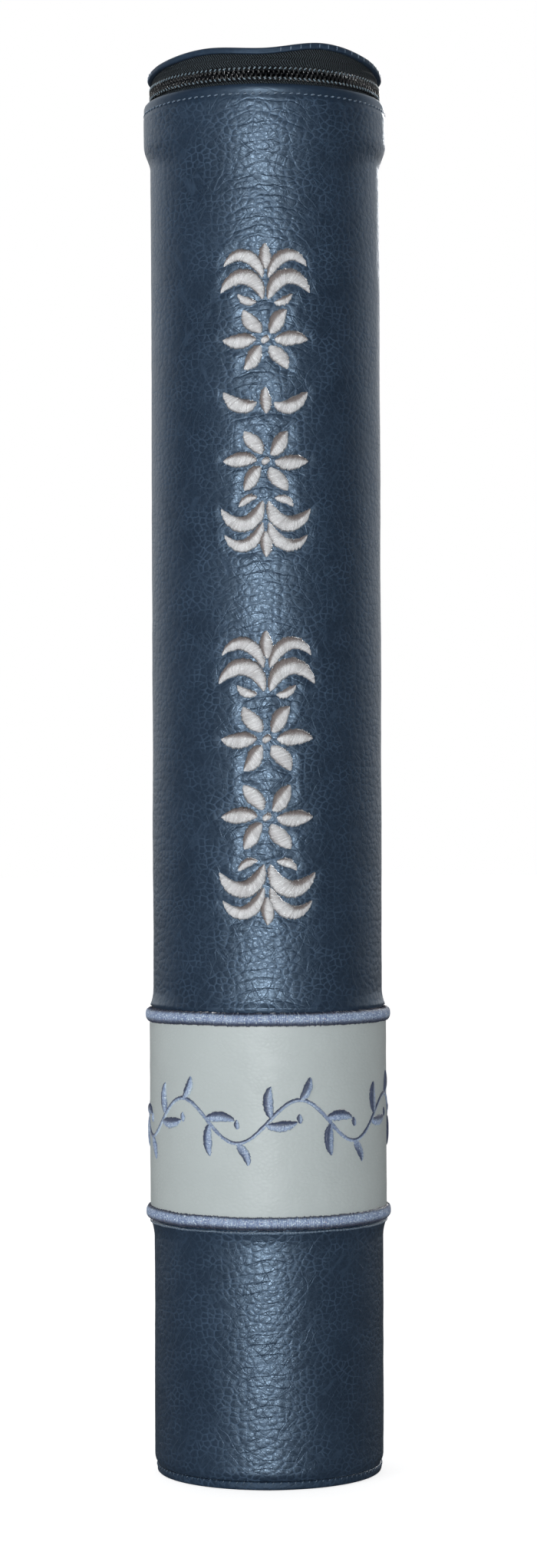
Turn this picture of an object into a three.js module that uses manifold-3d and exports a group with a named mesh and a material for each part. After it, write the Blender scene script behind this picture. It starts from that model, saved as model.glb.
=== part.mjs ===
// A megillah case: a rigid tube dressed in navy leather, with a pale leather band low down,
// a zip all round the top and a round leather lid that hinges on a strap at the back.
// Millimetres, +Z up. The origin is the middle of the underside, and the front faces -Y.
// Angles round the case start at the hinge, at +Y, and turn counterclockwise seen from above.
import * as THREE from "three";
import Module from "manifold-3d";
import { mergeVertices } from "three/addons/utils/BufferGeometryUtils.js";

// Sizes of the whole case
const bodyRadius = 35; // outside of the leather on the tube
const hemTop = 417.2; // top of the rolled leather hem, under the zip
const seatGap = 0.3; // glue line, or the clearance between two pieces
const leatherThickness = 1.2;
const tubeWall = 2;
const liningThickness = 0.8;
const ringSteps = 40;
const fullTurn = 2 * Math.PI;

// Base: a plug of board, wrapped underneath in leather
const baseRimHeight = 2.6;
const baseRimInset = 0.6; // the leather underside is this much smaller than the sleeve
const baseRimRound = 0.9;
const plugHeight = 2.9;
const baseEdgeTurn = 0.9; // how far the sleeve's bottom edge turns in
const baseEdgeHeight = 2.6;

// Hem: the top of the sleeve, folded double over the zip tape
const hemTurnDepth = 13; // depth of the turned-in layer
const hemFlatHeight = 11.2; // height at the hem's full width, under the roll
const hemBlendHeight = 7.2;
const hemBlendShares = [0, 0.3, 0.7, 1]; // stations of the blend, as shares of its height
const tubeTopDrop = 0.7; // the tube ends this far below the hem

// Contrast band and the two satin-stitch borders on its edges
const bandBottom = 79.5;
const bandTop = 139.8;
const bandThickness = 0.9;
const borderHeight = 4.8;
const borderOnBand = 0.5; // thread on the band's face
const borderRise = 0.3; // extra crown of the thread at its middle
const flareRise = 1; // the sleeve swells beside each border
const flareHeight = 5;
const flareShares = [1, 0.6, 0]; // stations of the swell, as shares of its height

// Zip: two woven tapes with a row of teeth each
const tapeClearance = 0.2;
const tapeThickness = 0.5;
const tapeTuck = 11; // how deep the lower tape goes into the hem
const tapeEdge = 1; // from the middle of the chain to the tape's edge
const tapeBulge = 0.7; // the upper tape bellies out by this
const tapeBulgeStart = 0.3; // above the slider
const tapeBulgeHeight = 1.7;
const chainStand = 1; // from the hem to the chain
const chainHeight = 4.4;
const chainThickness = 1;
const spineHeight = 1; // the part of each row that is sewn to its tape
const toothPitch = 1.5;
const toothWidth = 0.45; // at the middle of the chain
const toothTaper = 0.12; // width lost for each unit of height
const toothTipGap = 0.3;
const topStopLength = 1.6;
const bottomStopLength = 2.4;
const stopProud = 0.2;

// Slider, with its bail, and the pull that swings on it
const sliderLength = 9.5;
const sliderHalfHeight = 2.85;
const sliderPlate = 1;
const sliderFlange = 0.4;
const sliderFlangeSetback = 1;
const sliderNoseRound = 1.3;
const plateEndShares = [0, 1 / 3, 1, 2]; // stations at a plate's end, as shares of its round
const postLength = 1.6;
const postHeight = 1.4;
const postSetback = 1.7; // from the slider's nose
const bailThickness = 1;
const bailWindow = 3.8;
const bailFoot = 1;
const bailSink = 0.5; // the bail's feet run into the plate
const pullEyeHole = 1;
const pullEyeWall = 0.8;
const pullEyeWidth = 1.6;
const pullLength = 23;
const pullNeckWidth = 3.2;
const pullWidth = 5.6;
const pullThickness = 1;
const pullHoleLength = 7;
const pullHoleWidth = 2.4;

// Hinge strap between the hem and the lid
const strapWidth = 30;
const strapThickness = 1.6;
const hingeRise = 1.6; // pivot above the middle of the chain
const lidTongue = 1.1; // the part of the strap that is sewn up into the lid

// Lid: leather over a board, with its edge folded over the upper tape as a soft lip
const slideClearance = 0.35;
const lidLiningThickness = 0.5;
const lidBoardThickness = 1.5;
const lidBoardInset = 2.8; // the board's edge inside the tape
const lipOutset = 0.6; // outside of the lip beyond the sleeve
const lipHeight = 1.9;
const lipCover = 0.9; // leather above the tape's edge
const lipRound = 0.5;
const lipSlope = 1.9; // width of the slope between the lip and the flat top
const lipStand = 0.1; // mean height of the lip above the flat top
const lipWave = 3;
const lipWaveShares = [0, 0.1, -0.1, -0.37, 0.03, 0.43, 0.17, 0.93, 0.37, -0.4, -0.25, -0.1];

// Radii and heights that follow from the sizes above
const sleeveInner = bodyRadius - leatherThickness;
const tubeOuter = sleeveInner - seatGap;
const tubeInner = tubeOuter - tubeWall;
const liningOuter = tubeInner - seatGap;
const liningInner = liningOuter - liningThickness;
const tapeInner = tubeOuter + tapeClearance;
const tapeOuter = tapeInner + tapeThickness;
const hemInner = tapeOuter + seatGap;
const hemOuter = hemInner + 2 * leatherThickness;
const bandInner = bodyRadius + seatGap;
const bandOuter = bandInner + bandThickness;
const boardBottom = leatherThickness + seatGap;
const plugTop = baseRimHeight + plugHeight;
const sleeveBottom = baseRimHeight + seatGap;
const tubeTop = hemTop - tubeTopDrop;
const turnBottom = hemTop - hemTurnDepth;
const chainInner = tapeOuter + seatGap;
const chainOuter = chainInner + chainThickness;
const chainMiddle = hemTop + chainStand + chainHeight / 2;
const sliderTop = chainMiddle + sliderHalfHeight;
const lidLiningBottom = sliderTop + slideClearance;
const lidBoardBottom = lidLiningBottom + lidLiningThickness + seatGap;
const lidCoverBottom = lidBoardBottom + lidBoardThickness + seatGap;
const lidCoverTop = lidCoverBottom + leatherThickness;
const lidBoardRadius = tapeInner - lidBoardInset;
const lipOuter = bodyRadius + lipOutset;
const hingeHeight = chainMiddle + hingeRise;

// Places along the zip, as lengths of arc from the middle of the hinge
const stopStart = strapWidth / 2 + seatGap;
const sliderNose = stopStart + topStopLength + seatGap;
const sliderPlace = sliderNose + sliderLength / 2;
const postMiddle = sliderNose + postSetback + postLength / 2;
const chainStart = postMiddle + postLength / 2 + seatGap;
const zipCircle = fullTurn * chainInner;
const bottomStopStart = zipCircle - stopStart - bottomStopLength;
const chainEnd = bottomStopStart - seatGap;

const angleOf = (arc) => arc / chainInner;
const point = (radius, height) => new THREE.Vector2(radius, height);

const wasm = await Module();
wasm.setup();

// A shape's faces as a solid that can be joined to others
function solidFrom(geometry) {
  const bare = new THREE.BufferGeometry();
  const loose = geometry.index ? geometry.toNonIndexed() : geometry;
  bare.setAttribute("position", loose.getAttribute("position"));
  const merged = mergeVertices(bare, 1e-4 * leatherThickness);
  return new wasm.Manifold(
    new wasm.Mesh({
      numProp: 3,
      vertProperties: merged.getAttribute("position").array,
      triVerts: new Uint32Array(merged.index.array),
    }),
  );
}

// Several overlapping shapes joined into one
function joined(geometries) {
  const whole = geometries.map(solidFrom).reduce((sum, solid) => sum.add(solid));
  const mesh = whole.getMesh();
  const geometry = new THREE.BufferGeometry();
  geometry.setAttribute("position", new THREE.BufferAttribute(mesh.vertProperties, 3));
  geometry.setIndex(new THREE.BufferAttribute(mesh.triVerts, 1));
  geometry.computeVertexNormals();
  return geometry;
}

// A closed outline turned all the way round the axis
function turned(outline) {
  const ring = outline.concat([outline[0]]);
  return new THREE.LatheGeometry(ring, ringSteps).rotateX(Math.PI / 2);
}

// An outline that starts and ends on the axis, turned all the way round
function turnedDisc(outline) {
  return new THREE.LatheGeometry(outline, ringSteps).rotateX(Math.PI / 2);
}

// A section carried round the axis through a list of angles. The section is a function of
// the angle and gives a closed outline, outer side upwards; a part turn gets flat ends.
function carried(section, angles, whole = false) {
  const rings = angles.map(section);
  const count = rings[0].length;
  const places = [];
  rings.forEach((ring, i) => {
    const [sine, cosine] = [Math.sin(angles[i]), Math.cos(angles[i])];
    ring.forEach((p) => places.push(-p.x * sine, p.x * cosine, p.y));
  });
  const faces = [];
  const spans = whole ? rings.length : rings.length - 1;
  for (let i = 0; i < spans; i += 1) {
    const here = i * count;
    const next = ((i + 1) % rings.length) * count;
    for (let j = 0; j < count; j += 1) {
      const k = (j + 1) % count;
      faces.push(here + j, next + j, next + k, here + j, next + k, here + k);
    }
  }
  if (!whole) {
    const last = (rings.length - 1) * count;
    THREE.ShapeUtils.triangulateShape(rings[0], []).forEach(([a, b, c]) => {
      faces.push(a, b, c, last + a, last + c, last + b);
    });
  }
  const geometry = new THREE.BufferGeometry();
  geometry.setAttribute("position", new THREE.Float32BufferAttribute(places, 3));
  geometry.setIndex(faces);
  geometry.computeVertexNormals();
  return geometry;
}

// Even angles from one to another, no further apart than a step of a full ring
function evenAngles(from, to) {
  const steps = Math.ceil((to - from) / (fullTurn / ringSteps));
  return Array.from({ length: steps + 1 }, (_, i) => from + ((to - from) * i) / steps);
}

const box = (inner, outer, bottom, top) => [
  point(inner, bottom),
  point(outer, bottom),
  point(outer, top),
  point(inner, top),
];

// Points of a round corner of an outline, from one direction to another
function roundCorner(radius, height, round, fromAngle, toAngle, steps) {
  return Array.from({ length: steps + 1 }, (_, i) => {
    const turn = fromAngle + ((toAngle - fromAngle) * i) / steps;
    return point(radius + round * Math.cos(turn), height + round * Math.sin(turn));
  });
}

// Case body, from the inside out
function coreTube() {
  return turned(box(tubeInner, tubeOuter, sleeveBottom, tubeTop));
}

function bodyLining() {
  return turned(box(liningInner, liningOuter, plugTop + seatGap, tubeTop));
}

function baseBoard() {
  const flange = bodyRadius - baseRimInset - leatherThickness - seatGap;
  return turnedDisc([
    point(0, boardBottom),
    point(flange, boardBottom),
    point(flange, baseRimHeight),
    point(liningOuter, baseRimHeight),
    point(liningOuter, plugTop),
    point(0, plugTop),
  ]);
}

function baseLining() {
  const bottom = plugTop + seatGap;
  const radius = liningInner - seatGap;
  return turnedDisc([
    point(0, bottom),
    point(radius, bottom),
    point(radius, bottom + liningThickness),
    point(0, bottom + liningThickness),
  ]);
}

// The leather underside is a shallow dish whose rim stands up round the plug
function baseCover() {
  const outer = bodyRadius - baseRimInset;
  const inner = outer - leatherThickness;
  const middle = outer - baseRimRound;
  return turnedDisc([
    point(0, 0),
    ...roundCorner(middle, baseRimRound, baseRimRound, -Math.PI / 2, 0, 3),
    point(outer, baseRimHeight - leatherThickness / 2),
    point(outer - leatherThickness / 4, baseRimHeight),
    point(inner, baseRimHeight),
    point(inner, leatherThickness),
    point(0, leatherThickness),
  ]);
}

// The leather sleeve: turned in at the bottom, swelling beside the two borders,
// widening into the doubled hem and rolled over at the top
function leatherSleeve() {
  const edge = bodyRadius - baseEdgeTurn;
  const lowFlare = bandBottom - borderHeight / 2 - seatGap;
  const highFlare = bandTop + borderHeight / 2 + seatGap;
  const flatTop = hemTop - leatherThickness;
  const flatBottom = flatTop - hemFlatHeight;
  const swell = (base, direction) =>
    flareShares.map((away) => {
      const rise = flareRise * (1 - away) * (1 - away);
      return point(bodyRadius + rise, base + direction * away * flareHeight);
    });
  const blend = hemBlendShares.map((share) => {
    const ease = share * share * (3 - 2 * share);
    const radius = THREE.MathUtils.lerp(bodyRadius, hemOuter, ease);
    return point(radius, flatBottom - hemBlendHeight * (1 - share));
  });
  return turned([
    point(sleeveInner, sleeveBottom),
    point(edge, sleeveBottom),
    point(bodyRadius - baseEdgeTurn / 4, sleeveBottom + baseEdgeHeight / 3),
    point(bodyRadius, sleeveBottom + baseEdgeHeight),
    ...swell(lowFlare, -1),
    point(bodyRadius, lowFlare),
    point(bodyRadius, highFlare),
    ...swell(highFlare, 1).reverse(),
    ...blend,
    ...roundCorner(hemInner + leatherThickness, flatTop, leatherThickness, 0, Math.PI, 5),
    point(hemInner, turnBottom),
    point(sleeveInner, turnBottom - leatherThickness),
  ]);
}

function contrastBand() {
  return turned(box(bandInner, bandOuter, bandBottom, bandTop));
}

// A border lies half on the band and half on the sleeve, so it has a step underneath
function bandBorder(middle, towardsBand) {
  const reach = towardsBand * (borderHeight / 2);
  const face = bandOuter + seatGap + borderOnBand;
  const soft = borderOnBand;
  const outline = [
    point(bandInner, middle - reach),
    point(face - soft, middle - reach),
    point(face, middle - reach / 2),
    point(face + borderRise, middle),
    point(face, middle + reach / 2),
    point(face - soft + borderRise / 2, middle + reach),
    point(bandOuter + seatGap, middle + reach),
    point(bandOuter + seatGap, middle - towardsBand * seatGap),
    point(bandInner, middle - towardsBand * seatGap),
  ];
  return turned(towardsBand > 0 ? outline : outline.reverse());
}

// Height of the lip's top at an angle: a smooth curve through the chosen shares
function lipTop(angle) {
  const count = lipWaveShares.length;
  const place = ((angle / fullTurn) * count + count) % count;
  const station = Math.floor(place);
  const t = place - station;
  const share = (offset) => lipWaveShares[(station + offset + count) % count];
  const [before, here, next, after] = [share(-1), share(0), share(1), share(2)];
  const slopeHere = (next - before) / 2;
  const slopeNext = (after - here) / 2;
  const wave =
    here * (1 + 2 * t) * (1 - t) * (1 - t) +
    slopeHere * t * (1 - t) * (1 - t) +
    next * t * t * (3 - 2 * t) -
    slopeNext * t * t * (1 - t);
  return lidCoverTop + lipStand + lipWave * wave;
}

// Zip tapes: the lower one goes down into the hem, the upper one up into the lid's lip
const zipFrom = angleOf(stopStart);
const zipTo = fullTurn - zipFrom;

function lowerTape() {
  const section = () => box(tapeInner, tapeOuter, hemTop - tapeTuck, chainMiddle - tapeEdge);
  return carried(section, evenAngles(zipFrom, zipTo));
}

function upperTape() {
  const start = sliderTop + tapeBulgeStart;
  const section = (angle) => {
    const slot = lipTop(angle) - lipCover - seatGap;
    const room = lipTop(angle) - lipHeight - seatGap - start;
    const belly = Math.min(tapeBulgeHeight, room);
    const rise = (tapeBulge * belly) / tapeBulgeHeight;
    return [
      point(tapeInner, chainMiddle + tapeEdge),
      point(tapeOuter, chainMiddle + tapeEdge),
      point(tapeOuter, start),
      point(tapeOuter + rise, start + belly / 2),
      point(tapeOuter, start + belly),
      point(tapeOuter, slot),
      point(tapeInner, slot),
      point(tapeInner, start + belly),
      point(tapeInner + rise, start + belly / 2),
      point(tapeInner, start),
    ];
  };
  return carried(section, evenAngles(zipFrom, zipTo));
}

// One row of the chain: a spine along the tape and tapered teeth that reach past the middle.
// The upper row is the lower one turned over and moved by half a pitch, so the two rows
// interleave with an even gap. side is -1 for the lower row and 1 for the upper one.
function toothRow(side) {
  const half = chainHeight / 2;
  const root = half - spineHeight;
  const tip = root - toothTipGap;
  const rootWidth = toothWidth + toothTaper * root;
  const tipWidth = toothWidth - toothTaper * tip;
  const shift = side > 0 ? toothPitch / 2 : 0;
  const count = Math.floor((chainEnd - chainStart) / toothPitch) - 1;
  const stations = [[chainStart, root]];
  for (let i = 0; i < count; i += 1) {
    const middle = chainStart + toothPitch * (i + 1 / 2) + shift;
    stations.push([middle - rootWidth / 2, root], [middle - tipWidth / 2, -tip]);
    stations.push([middle + tipWidth / 2, -tip], [middle + rootWidth / 2, root]);
  }
  stations.push([chainEnd, root]);
  const reaches = new Map(stations.map(([arc, reach]) => [angleOf(arc), reach]));
  const section = (angle) => {
    const edge = chainMiddle + side * reaches.get(angle);
    const back = chainMiddle + side * half;
    return box(chainInner, chainOuter, Math.min(edge, back), Math.max(edge, back));
  };
  return carried(section, [...reaches.keys()]);
}

// A small clamped stop on the chain, between two heights
function zipStop(start, length, bottom, top) {
  const section = () => box(chainInner, chainOuter + stopProud, bottom, top);
  return carried(section, evenAngles(angleOf(start), angleOf(start + length)));
}

// Hinge strap, in two leaves that meet at the pivot. A thin tongue of each is sewn in.
const strapAngles = evenAngles(-angleOf(strapWidth / 2), angleOf(strapWidth / 2));

function caseLeaf() {
  const section = () => [
    point(tapeInner, hemTop - tapeTuck),
    point(tapeOuter, hemTop - tapeTuck),
    point(tapeOuter, hemTop + seatGap),
    point(tapeInner + strapThickness, hemTop + seatGap),
    point(tapeInner + strapThickness, hingeHeight - seatGap),
    point(tapeInner, hingeHeight - seatGap),
  ];
  return carried(section, strapAngles);
}

function lidLeaf() {
  const section = (angle) => {
    const shoulder = lipTop(angle) - lipHeight - seatGap;
    return [
      point(tapeInner, hingeHeight + seatGap),
      point(tapeInner + strapThickness, hingeHeight + seatGap),
      point(tapeInner + strapThickness, shoulder),
      point(tapeOuter, shoulder),
      point(tapeOuter, shoulder + lidTongue),
      point(tapeInner, shoulder + lidTongue),
    ];
  };
  return carried(section, strapAngles);
}

// Lid pieces
function lidDisc(bottom, thickness) {
  return turnedDisc([
    point(0, bottom),
    point(lidBoardRadius, bottom),
    point(lidBoardRadius, bottom + thickness),
    point(0, bottom + thickness),
  ]);
}

// The lid's leather: a flat top that slopes into a wavy lip, which has a slot underneath
// for the tape's edge. The flat middle is a small hub, so that every section is alike.
function lidCover() {
  const slotInner = tapeInner - seatGap;
  const slotOuter = tapeOuter + seatGap;
  const slopeStart = slotInner - lipSlope;
  const hub = leatherThickness / 4;
  const section = (angle) => {
    const top = lipTop(angle);
    return [
      point(hub, lidCoverBottom),
      point(slopeStart - seatGap, lidCoverBottom),
      point(slotInner, top - lipHeight),
      point(slotInner, top - lipCover),
      point(slotOuter, top - lipCover),
      point(slotOuter, top - lipHeight),
      point(lipOuter, top - lipHeight),
      point(lipOuter, top - lipRound),
      point(lipOuter - lipRound, top),
      point(slotInner, top),
      point(slotInner - lipRound, top - lipRound / 2),
      point(slopeStart, lidCoverTop),
      point(hub, lidCoverTop),
    ];
  };
  const angles = evenAngles(0, fullTurn).slice(0, -1);
  const middle = turnedDisc([
    point(0, lidCoverBottom),
    point(2 * hub, lidCoverBottom),
    point(2 * hub, lidCoverTop),
    point(0, lidCoverTop),
  ]);
  return joined([carried(section, angles, true), middle]);
}

// Slider: two curved plates joined by a post between the diverging rows, with flanges
// that keep the teeth together and a bail on the outside for the pull
const plateInner = chainOuter + seatGap;
const plateOuter = plateInner + sliderPlate;
const bailRadius = plateOuter + seatGap + pullEyeWall + pullEyeHole;

function sliderBlock(inner, outer, bottom, top, start, length) {
  return carried(
    () => box(inner, outer, chainMiddle + bottom, chainMiddle + top),
    evenAngles(angleOf(start), angleOf(start + length / 2)).concat([angleOf(start + length)]),
  );
}

function curvedPlate(inner, outer) {
  const ends = plateEndShares.map((share) => share * sliderNoseRound);
  const arcs = ends.concat([sliderLength / 2], ends.map((e) => sliderLength - e).reverse());
  const halfHeight = (arc) => {
    const fromEnd = Math.min(arc, sliderLength - arc);
    const short = Math.max(0, 1 - fromEnd / sliderNoseRound);
    return sliderHalfHeight - sliderNoseRound * (1 - Math.sqrt(1 - short * short * short));
  };
  const halves = new Map(arcs.map((arc) => [angleOf(sliderNose + arc), halfHeight(arc)]));
  const section = (angle) => {
    const half = halves.get(angle);
    return box(inner, outer, chainMiddle - half, chainMiddle + half);
  };
  return carried(section, [...halves.keys()]);
}

// The bail is an arch in the plane of the axis and the slider's own direction
function bailArch() {
  const half = bailWindow / 2 + bailFoot;
  const foot = plateOuter - bailSink;
  const crown = bailRadius + bailThickness / 2;
  const arch = new THREE.Shape([
    point(-half, foot),
    point(-half + bailFoot, foot),
    point(-half + bailFoot, crown - bailThickness),
    point(half - bailFoot, crown - bailThickness),
    point(half - bailFoot, foot),
    point(half, foot),
    point(half, crown - bailThickness / 2),
    point(half - bailThickness / 2, crown),
    point(-half + bailThickness / 2, crown),
    point(-half, crown - bailThickness / 2),
  ]);
  const geometry = new THREE.ExtrudeGeometry(arch, { depth: bailThickness, bevelEnabled: false });
  geometry.translate(0, 0, chainMiddle - bailThickness / 2);
  return geometry.rotateZ(angleOf(sliderPlace));
}

function zipSlider() {
  const backOuter = tapeInner - seatGap;
  const backInner = backOuter - sliderPlate;
  const flangeStart = sliderNose + sliderFlangeSetback;
  const flangeLength = sliderLength - 2 * sliderFlangeSetback;
  const flangeTop = plateInner + sliderPlate / 2;
  const low = sliderHalfHeight - sliderFlange;
  const postStart = postMiddle - postLength / 2;
  return joined([
    curvedPlate(plateInner, plateOuter),
    curvedPlate(backInner, backOuter),
    sliderBlock(chainInner, flangeTop, low, sliderHalfHeight, flangeStart, flangeLength),
    sliderBlock(chainInner, flangeTop, -sliderHalfHeight, -low, flangeStart, flangeLength),
    sliderBlock(
      backOuter - sliderPlate / 2,
      flangeTop,
      -postHeight / 2,
      postHeight / 2,
      postStart,
      postLength,
    ),
    bailArch(),
  ]);
}

// Pull: an eye round the bail, a neck and a flat tab with a long hole, hanging down.
// Drawn flat, with its own x along the bail and y up, then stood in its place.
function zipPull() {
  const eyeRadius = pullEyeHole + pullEyeWall;
  const eye = new THREE.Shape().absarc(0, 0, eyeRadius, 0, fullTurn);
  eye.holes.push(new THREE.Path().absarc(0, 0, pullEyeHole, 0, fullTurn));
  const eyeSolid = new THREE.ExtrudeGeometry(eye, {
    depth: pullEyeWidth,
    bevelEnabled: false,
    curveSegments: 9,
  });
  eyeSolid.translate(0, 0, -pullEyeWidth / 2).rotateY(Math.PI / 2);

  const top = -pullEyeHole - pullEyeWall / 2;
  const round = pullWidth / 2;
  const tab = new THREE.Shape();
  tab.moveTo(pullEyeWidth / 2, top);
  tab.lineTo(-pullEyeWidth / 2, top);
  tab.lineTo(-pullNeckWidth / 2, top - pullNeckWidth / 2);
  tab.lineTo(-pullWidth / 2, top - pullWidth);
  tab.lineTo(-pullWidth / 2, round - pullLength);
  tab.absarc(0, round - pullLength, round, Math.PI, fullTurn, false);
  tab.lineTo(pullWidth / 2, top - pullWidth);
  tab.lineTo(pullNeckWidth / 2, top - pullNeckWidth / 2);
  const holeRound = pullHoleWidth / 2;
  const holeLow = 1.5 * round - pullLength;
  const hole = new THREE.Path();
  hole.absarc(0, holeLow, holeRound, Math.PI, fullTurn, false);
  hole.absarc(0, holeLow + pullHoleLength, holeRound, 0, Math.PI, false);
  tab.holes.push(hole);
  const tabSolid = new THREE.ExtrudeGeometry(tab, {
    depth: pullThickness,
    bevelEnabled: false,
    curveSegments: 8,
  });
  tabSolid.translate(0, 0, -pullThickness / 2);

  return joined([eyeSolid, tabSolid])
    .rotateX(Math.PI / 2)
    .translate(0, bailRadius, chainMiddle)
    .rotateZ(angleOf(sliderPlace));
}

// Finishes
const finishes = {
  navyLeather: { color: 0x39485c, roughness: 0.5, metalness: 0 },
  paleLeather: { color: 0xbec5c5, roughness: 0.55, metalness: 0 },
  blueThread: { color: 0x8a9dbb, roughness: 0.4, metalness: 0.3 },
  liningCloth: { color: 0x2b3340, roughness: 0.9, metalness: 0 },
  greyBoard: { color: 0x8d8678, roughness: 0.9, metalness: 0 },
  zipTape: { color: 0x1d2228, roughness: 0.85, metalness: 0 },
  zipTeeth: { color: 0x14171b, roughness: 0.35, metalness: 0 },
  blackMetal: { color: 0x1b1d20, roughness: 0.35, metalness: 0.8 },
};

const megillahCase = new THREE.Group();

function add(name, geometry, finish) {
  const mesh = new THREE.Mesh(geometry, new THREE.MeshStandardMaterial(finishes[finish]));
  mesh.name = name;
  megillahCase.add(mesh);
}

const chainBottom = chainMiddle - chainHeight / 2;
const chainTop = chainMiddle + chainHeight / 2;

add("core_tube", coreTube(), "greyBoard");
add("body_lining", bodyLining(), "liningCloth");
add("base_board", baseBoard(), "greyBoard");
add("base_lining", baseLining(), "liningCloth");
add("base_cover", baseCover(), "navyLeather");
add("leather_sleeve", leatherSleeve(), "navyLeather");
add("contrast_band", contrastBand(), "paleLeather");
add("band_border_lower", bandBorder(bandBottom, 1), "blueThread");
add("band_border_upper", bandBorder(bandTop, -1), "blueThread");
add("zip_tape_lower", lowerTape(), "zipTape");
add("zip_tape_upper", upperTape(), "zipTape");
add("zip_teeth_lower", toothRow(-1), "zipTeeth");
add("zip_teeth_upper", toothRow(1), "zipTeeth");
add(
  "zip_top_stop_lower",
  zipStop(stopStart, topStopLength, chainBottom, chainMiddle - tapeEdge / 2),
  "blackMetal",
);
add(
  "zip_top_stop_upper",
  zipStop(stopStart, topStopLength, chainMiddle + tapeEdge / 2, chainTop),
  "blackMetal",
);
add(
  "zip_bottom_stop",
  zipStop(bottomStopStart, bottomStopLength, chainBottom, chainTop),
  "blackMetal",
);
add("hinge_strap_case", caseLeaf(), "navyLeather");
add("hinge_strap_lid", lidLeaf(), "navyLeather");
add("lid_lining", lidDisc(lidLiningBottom, lidLiningThickness), "liningCloth");
add("lid_board", lidDisc(lidBoardBottom, lidBoardThickness), "greyBoard");
add("lid_cover", lidCover(), "navyLeather");
add("zip_slider", zipSlider(), "blackMetal");
add("zip_pull", zipPull(), "blackMetal");

export default megillahCase;
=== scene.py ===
# Megillah case: navy leather over a tube, a pale band between two satin-stitch borders,
# silver and blue needlework, and a coil zip round a hinged lid.
# Lengths are millimetres until a mesh is made. Angles start at the hinge, at +Y, and turn
# counterclockwise seen from above, so the front is at half a turn.
import math

import bmesh
import bpy
import numpy as np
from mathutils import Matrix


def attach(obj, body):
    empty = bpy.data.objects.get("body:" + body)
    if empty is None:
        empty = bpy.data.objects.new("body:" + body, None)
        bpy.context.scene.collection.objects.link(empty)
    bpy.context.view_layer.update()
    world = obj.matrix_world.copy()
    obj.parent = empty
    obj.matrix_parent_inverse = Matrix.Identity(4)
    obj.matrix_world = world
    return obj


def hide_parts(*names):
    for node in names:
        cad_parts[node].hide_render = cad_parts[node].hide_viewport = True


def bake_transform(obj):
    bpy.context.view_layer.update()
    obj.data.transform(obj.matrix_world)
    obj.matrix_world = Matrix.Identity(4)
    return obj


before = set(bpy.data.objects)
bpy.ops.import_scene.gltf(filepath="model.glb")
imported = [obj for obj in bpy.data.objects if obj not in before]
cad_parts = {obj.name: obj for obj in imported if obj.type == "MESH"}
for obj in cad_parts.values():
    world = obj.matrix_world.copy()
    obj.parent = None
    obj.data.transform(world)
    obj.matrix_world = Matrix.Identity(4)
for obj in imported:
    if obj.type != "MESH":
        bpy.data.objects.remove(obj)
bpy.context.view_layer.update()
print("frame loaded:", len(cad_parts), "nodes")


class Values(dict):
    # Named values that are also written after a dot
    __getattr__ = dict.__getitem__


mm = 0.001
halfTurn = math.pi
fullTurn = 2 * math.pi

case = Values(
    bodyRadius=35.0, liningInner=30.4, liningMiddle=30.8, liningOuter=31.2, liningBottom=5.8,
    liningTop=416.5, hemTop=417.2, hemRadius=36.9, hemInner=34.5, tapeInner=33.7,
    tapeOuter=34.2, zipRadius=34.5, chainMiddle=420.4, lidTop=427.4, bandBottom=79.5,
    bandTop=139.8, bandRadius=36.2, hingeHalfWidth=15.0,
)
girth = fullTurn * case.bodyRadius


# Mesh tools

def onCase(angle, radius, height):
    # A place on the case: radius and height at an angle from the hinge
    angle, radius, height = np.broadcast_arrays(angle, radius, height)
    return np.stack([-radius * np.sin(angle), radius * np.cos(angle), height], -1)


def evenAngles(count):
    return np.arange(count) / count * fullTurn


def stacked(columns, *blocks):
    # Blocks of rows one after the other. A flat block has one value for each of its rows.
    blocks = [np.asarray(block, float) for block in blocks]
    blocks = [block if block.ndim == 2 else block[:, None] for block in blocks]
    return np.concatenate([np.broadcast_to(block, (len(block), columns)) for block in blocks])


def meshObject(name, corners, quads, pattern=None, values=None):
    # corners: points in mm; quads: four corner numbers for each face; pattern: flat
    # coordinates in mm for each face corner; values: named numbers for each point
    mesh = bpy.data.meshes.new(name)
    mesh.vertices.add(len(corners))
    mesh.vertices.foreach_set("co", (np.asarray(corners, float) * mm).ravel())
    mesh.loops.add(quads.size)
    mesh.loops.foreach_set("vertex_index", quads.ravel().astype(np.int32))
    mesh.polygons.add(len(quads))
    mesh.polygons.foreach_set("loop_start", np.arange(0, quads.size, 4).astype(np.int32))
    mesh.polygons.foreach_set("use_smooth", np.ones(len(quads), bool))
    mesh.update(calc_edges=True)
    if pattern is not None:
        layer = mesh.uv_layers.new(name="flatMap")
        layer.data.foreach_set("uv", np.asarray(pattern, float).ravel())
    for title, numbers in (values or {}).items():
        attribute = mesh.attributes.new(title, "FLOAT", "POINT")
        attribute.data.foreach_set("value", np.asarray(numbers, np.float32).ravel())
    piece = bpy.data.objects.new(name, mesh)
    bpy.context.scene.collection.objects.link(piece)
    return piece


def closePoles(piece):
    # Points that meet, at a pole or a cap, become one
    work = bmesh.new()
    work.from_mesh(piece.data)
    bmesh.ops.remove_doubles(work, verts=work.verts, dist=2e-6)
    work.to_mesh(piece.data)
    work.free()


def gridFaces(shape, order, wrapRows=False, wrapColumns=True):
    # The rows and the columns of each face's corners, which go round it in this order
    cells = np.indices((shape[0] - 1 + wrapRows, shape[1] - 1 + wrapColumns))
    return [np.stack([cell + step[k] for step in order], -1).reshape(-1, 4)
            for k, cell in enumerate(cells)]


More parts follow.
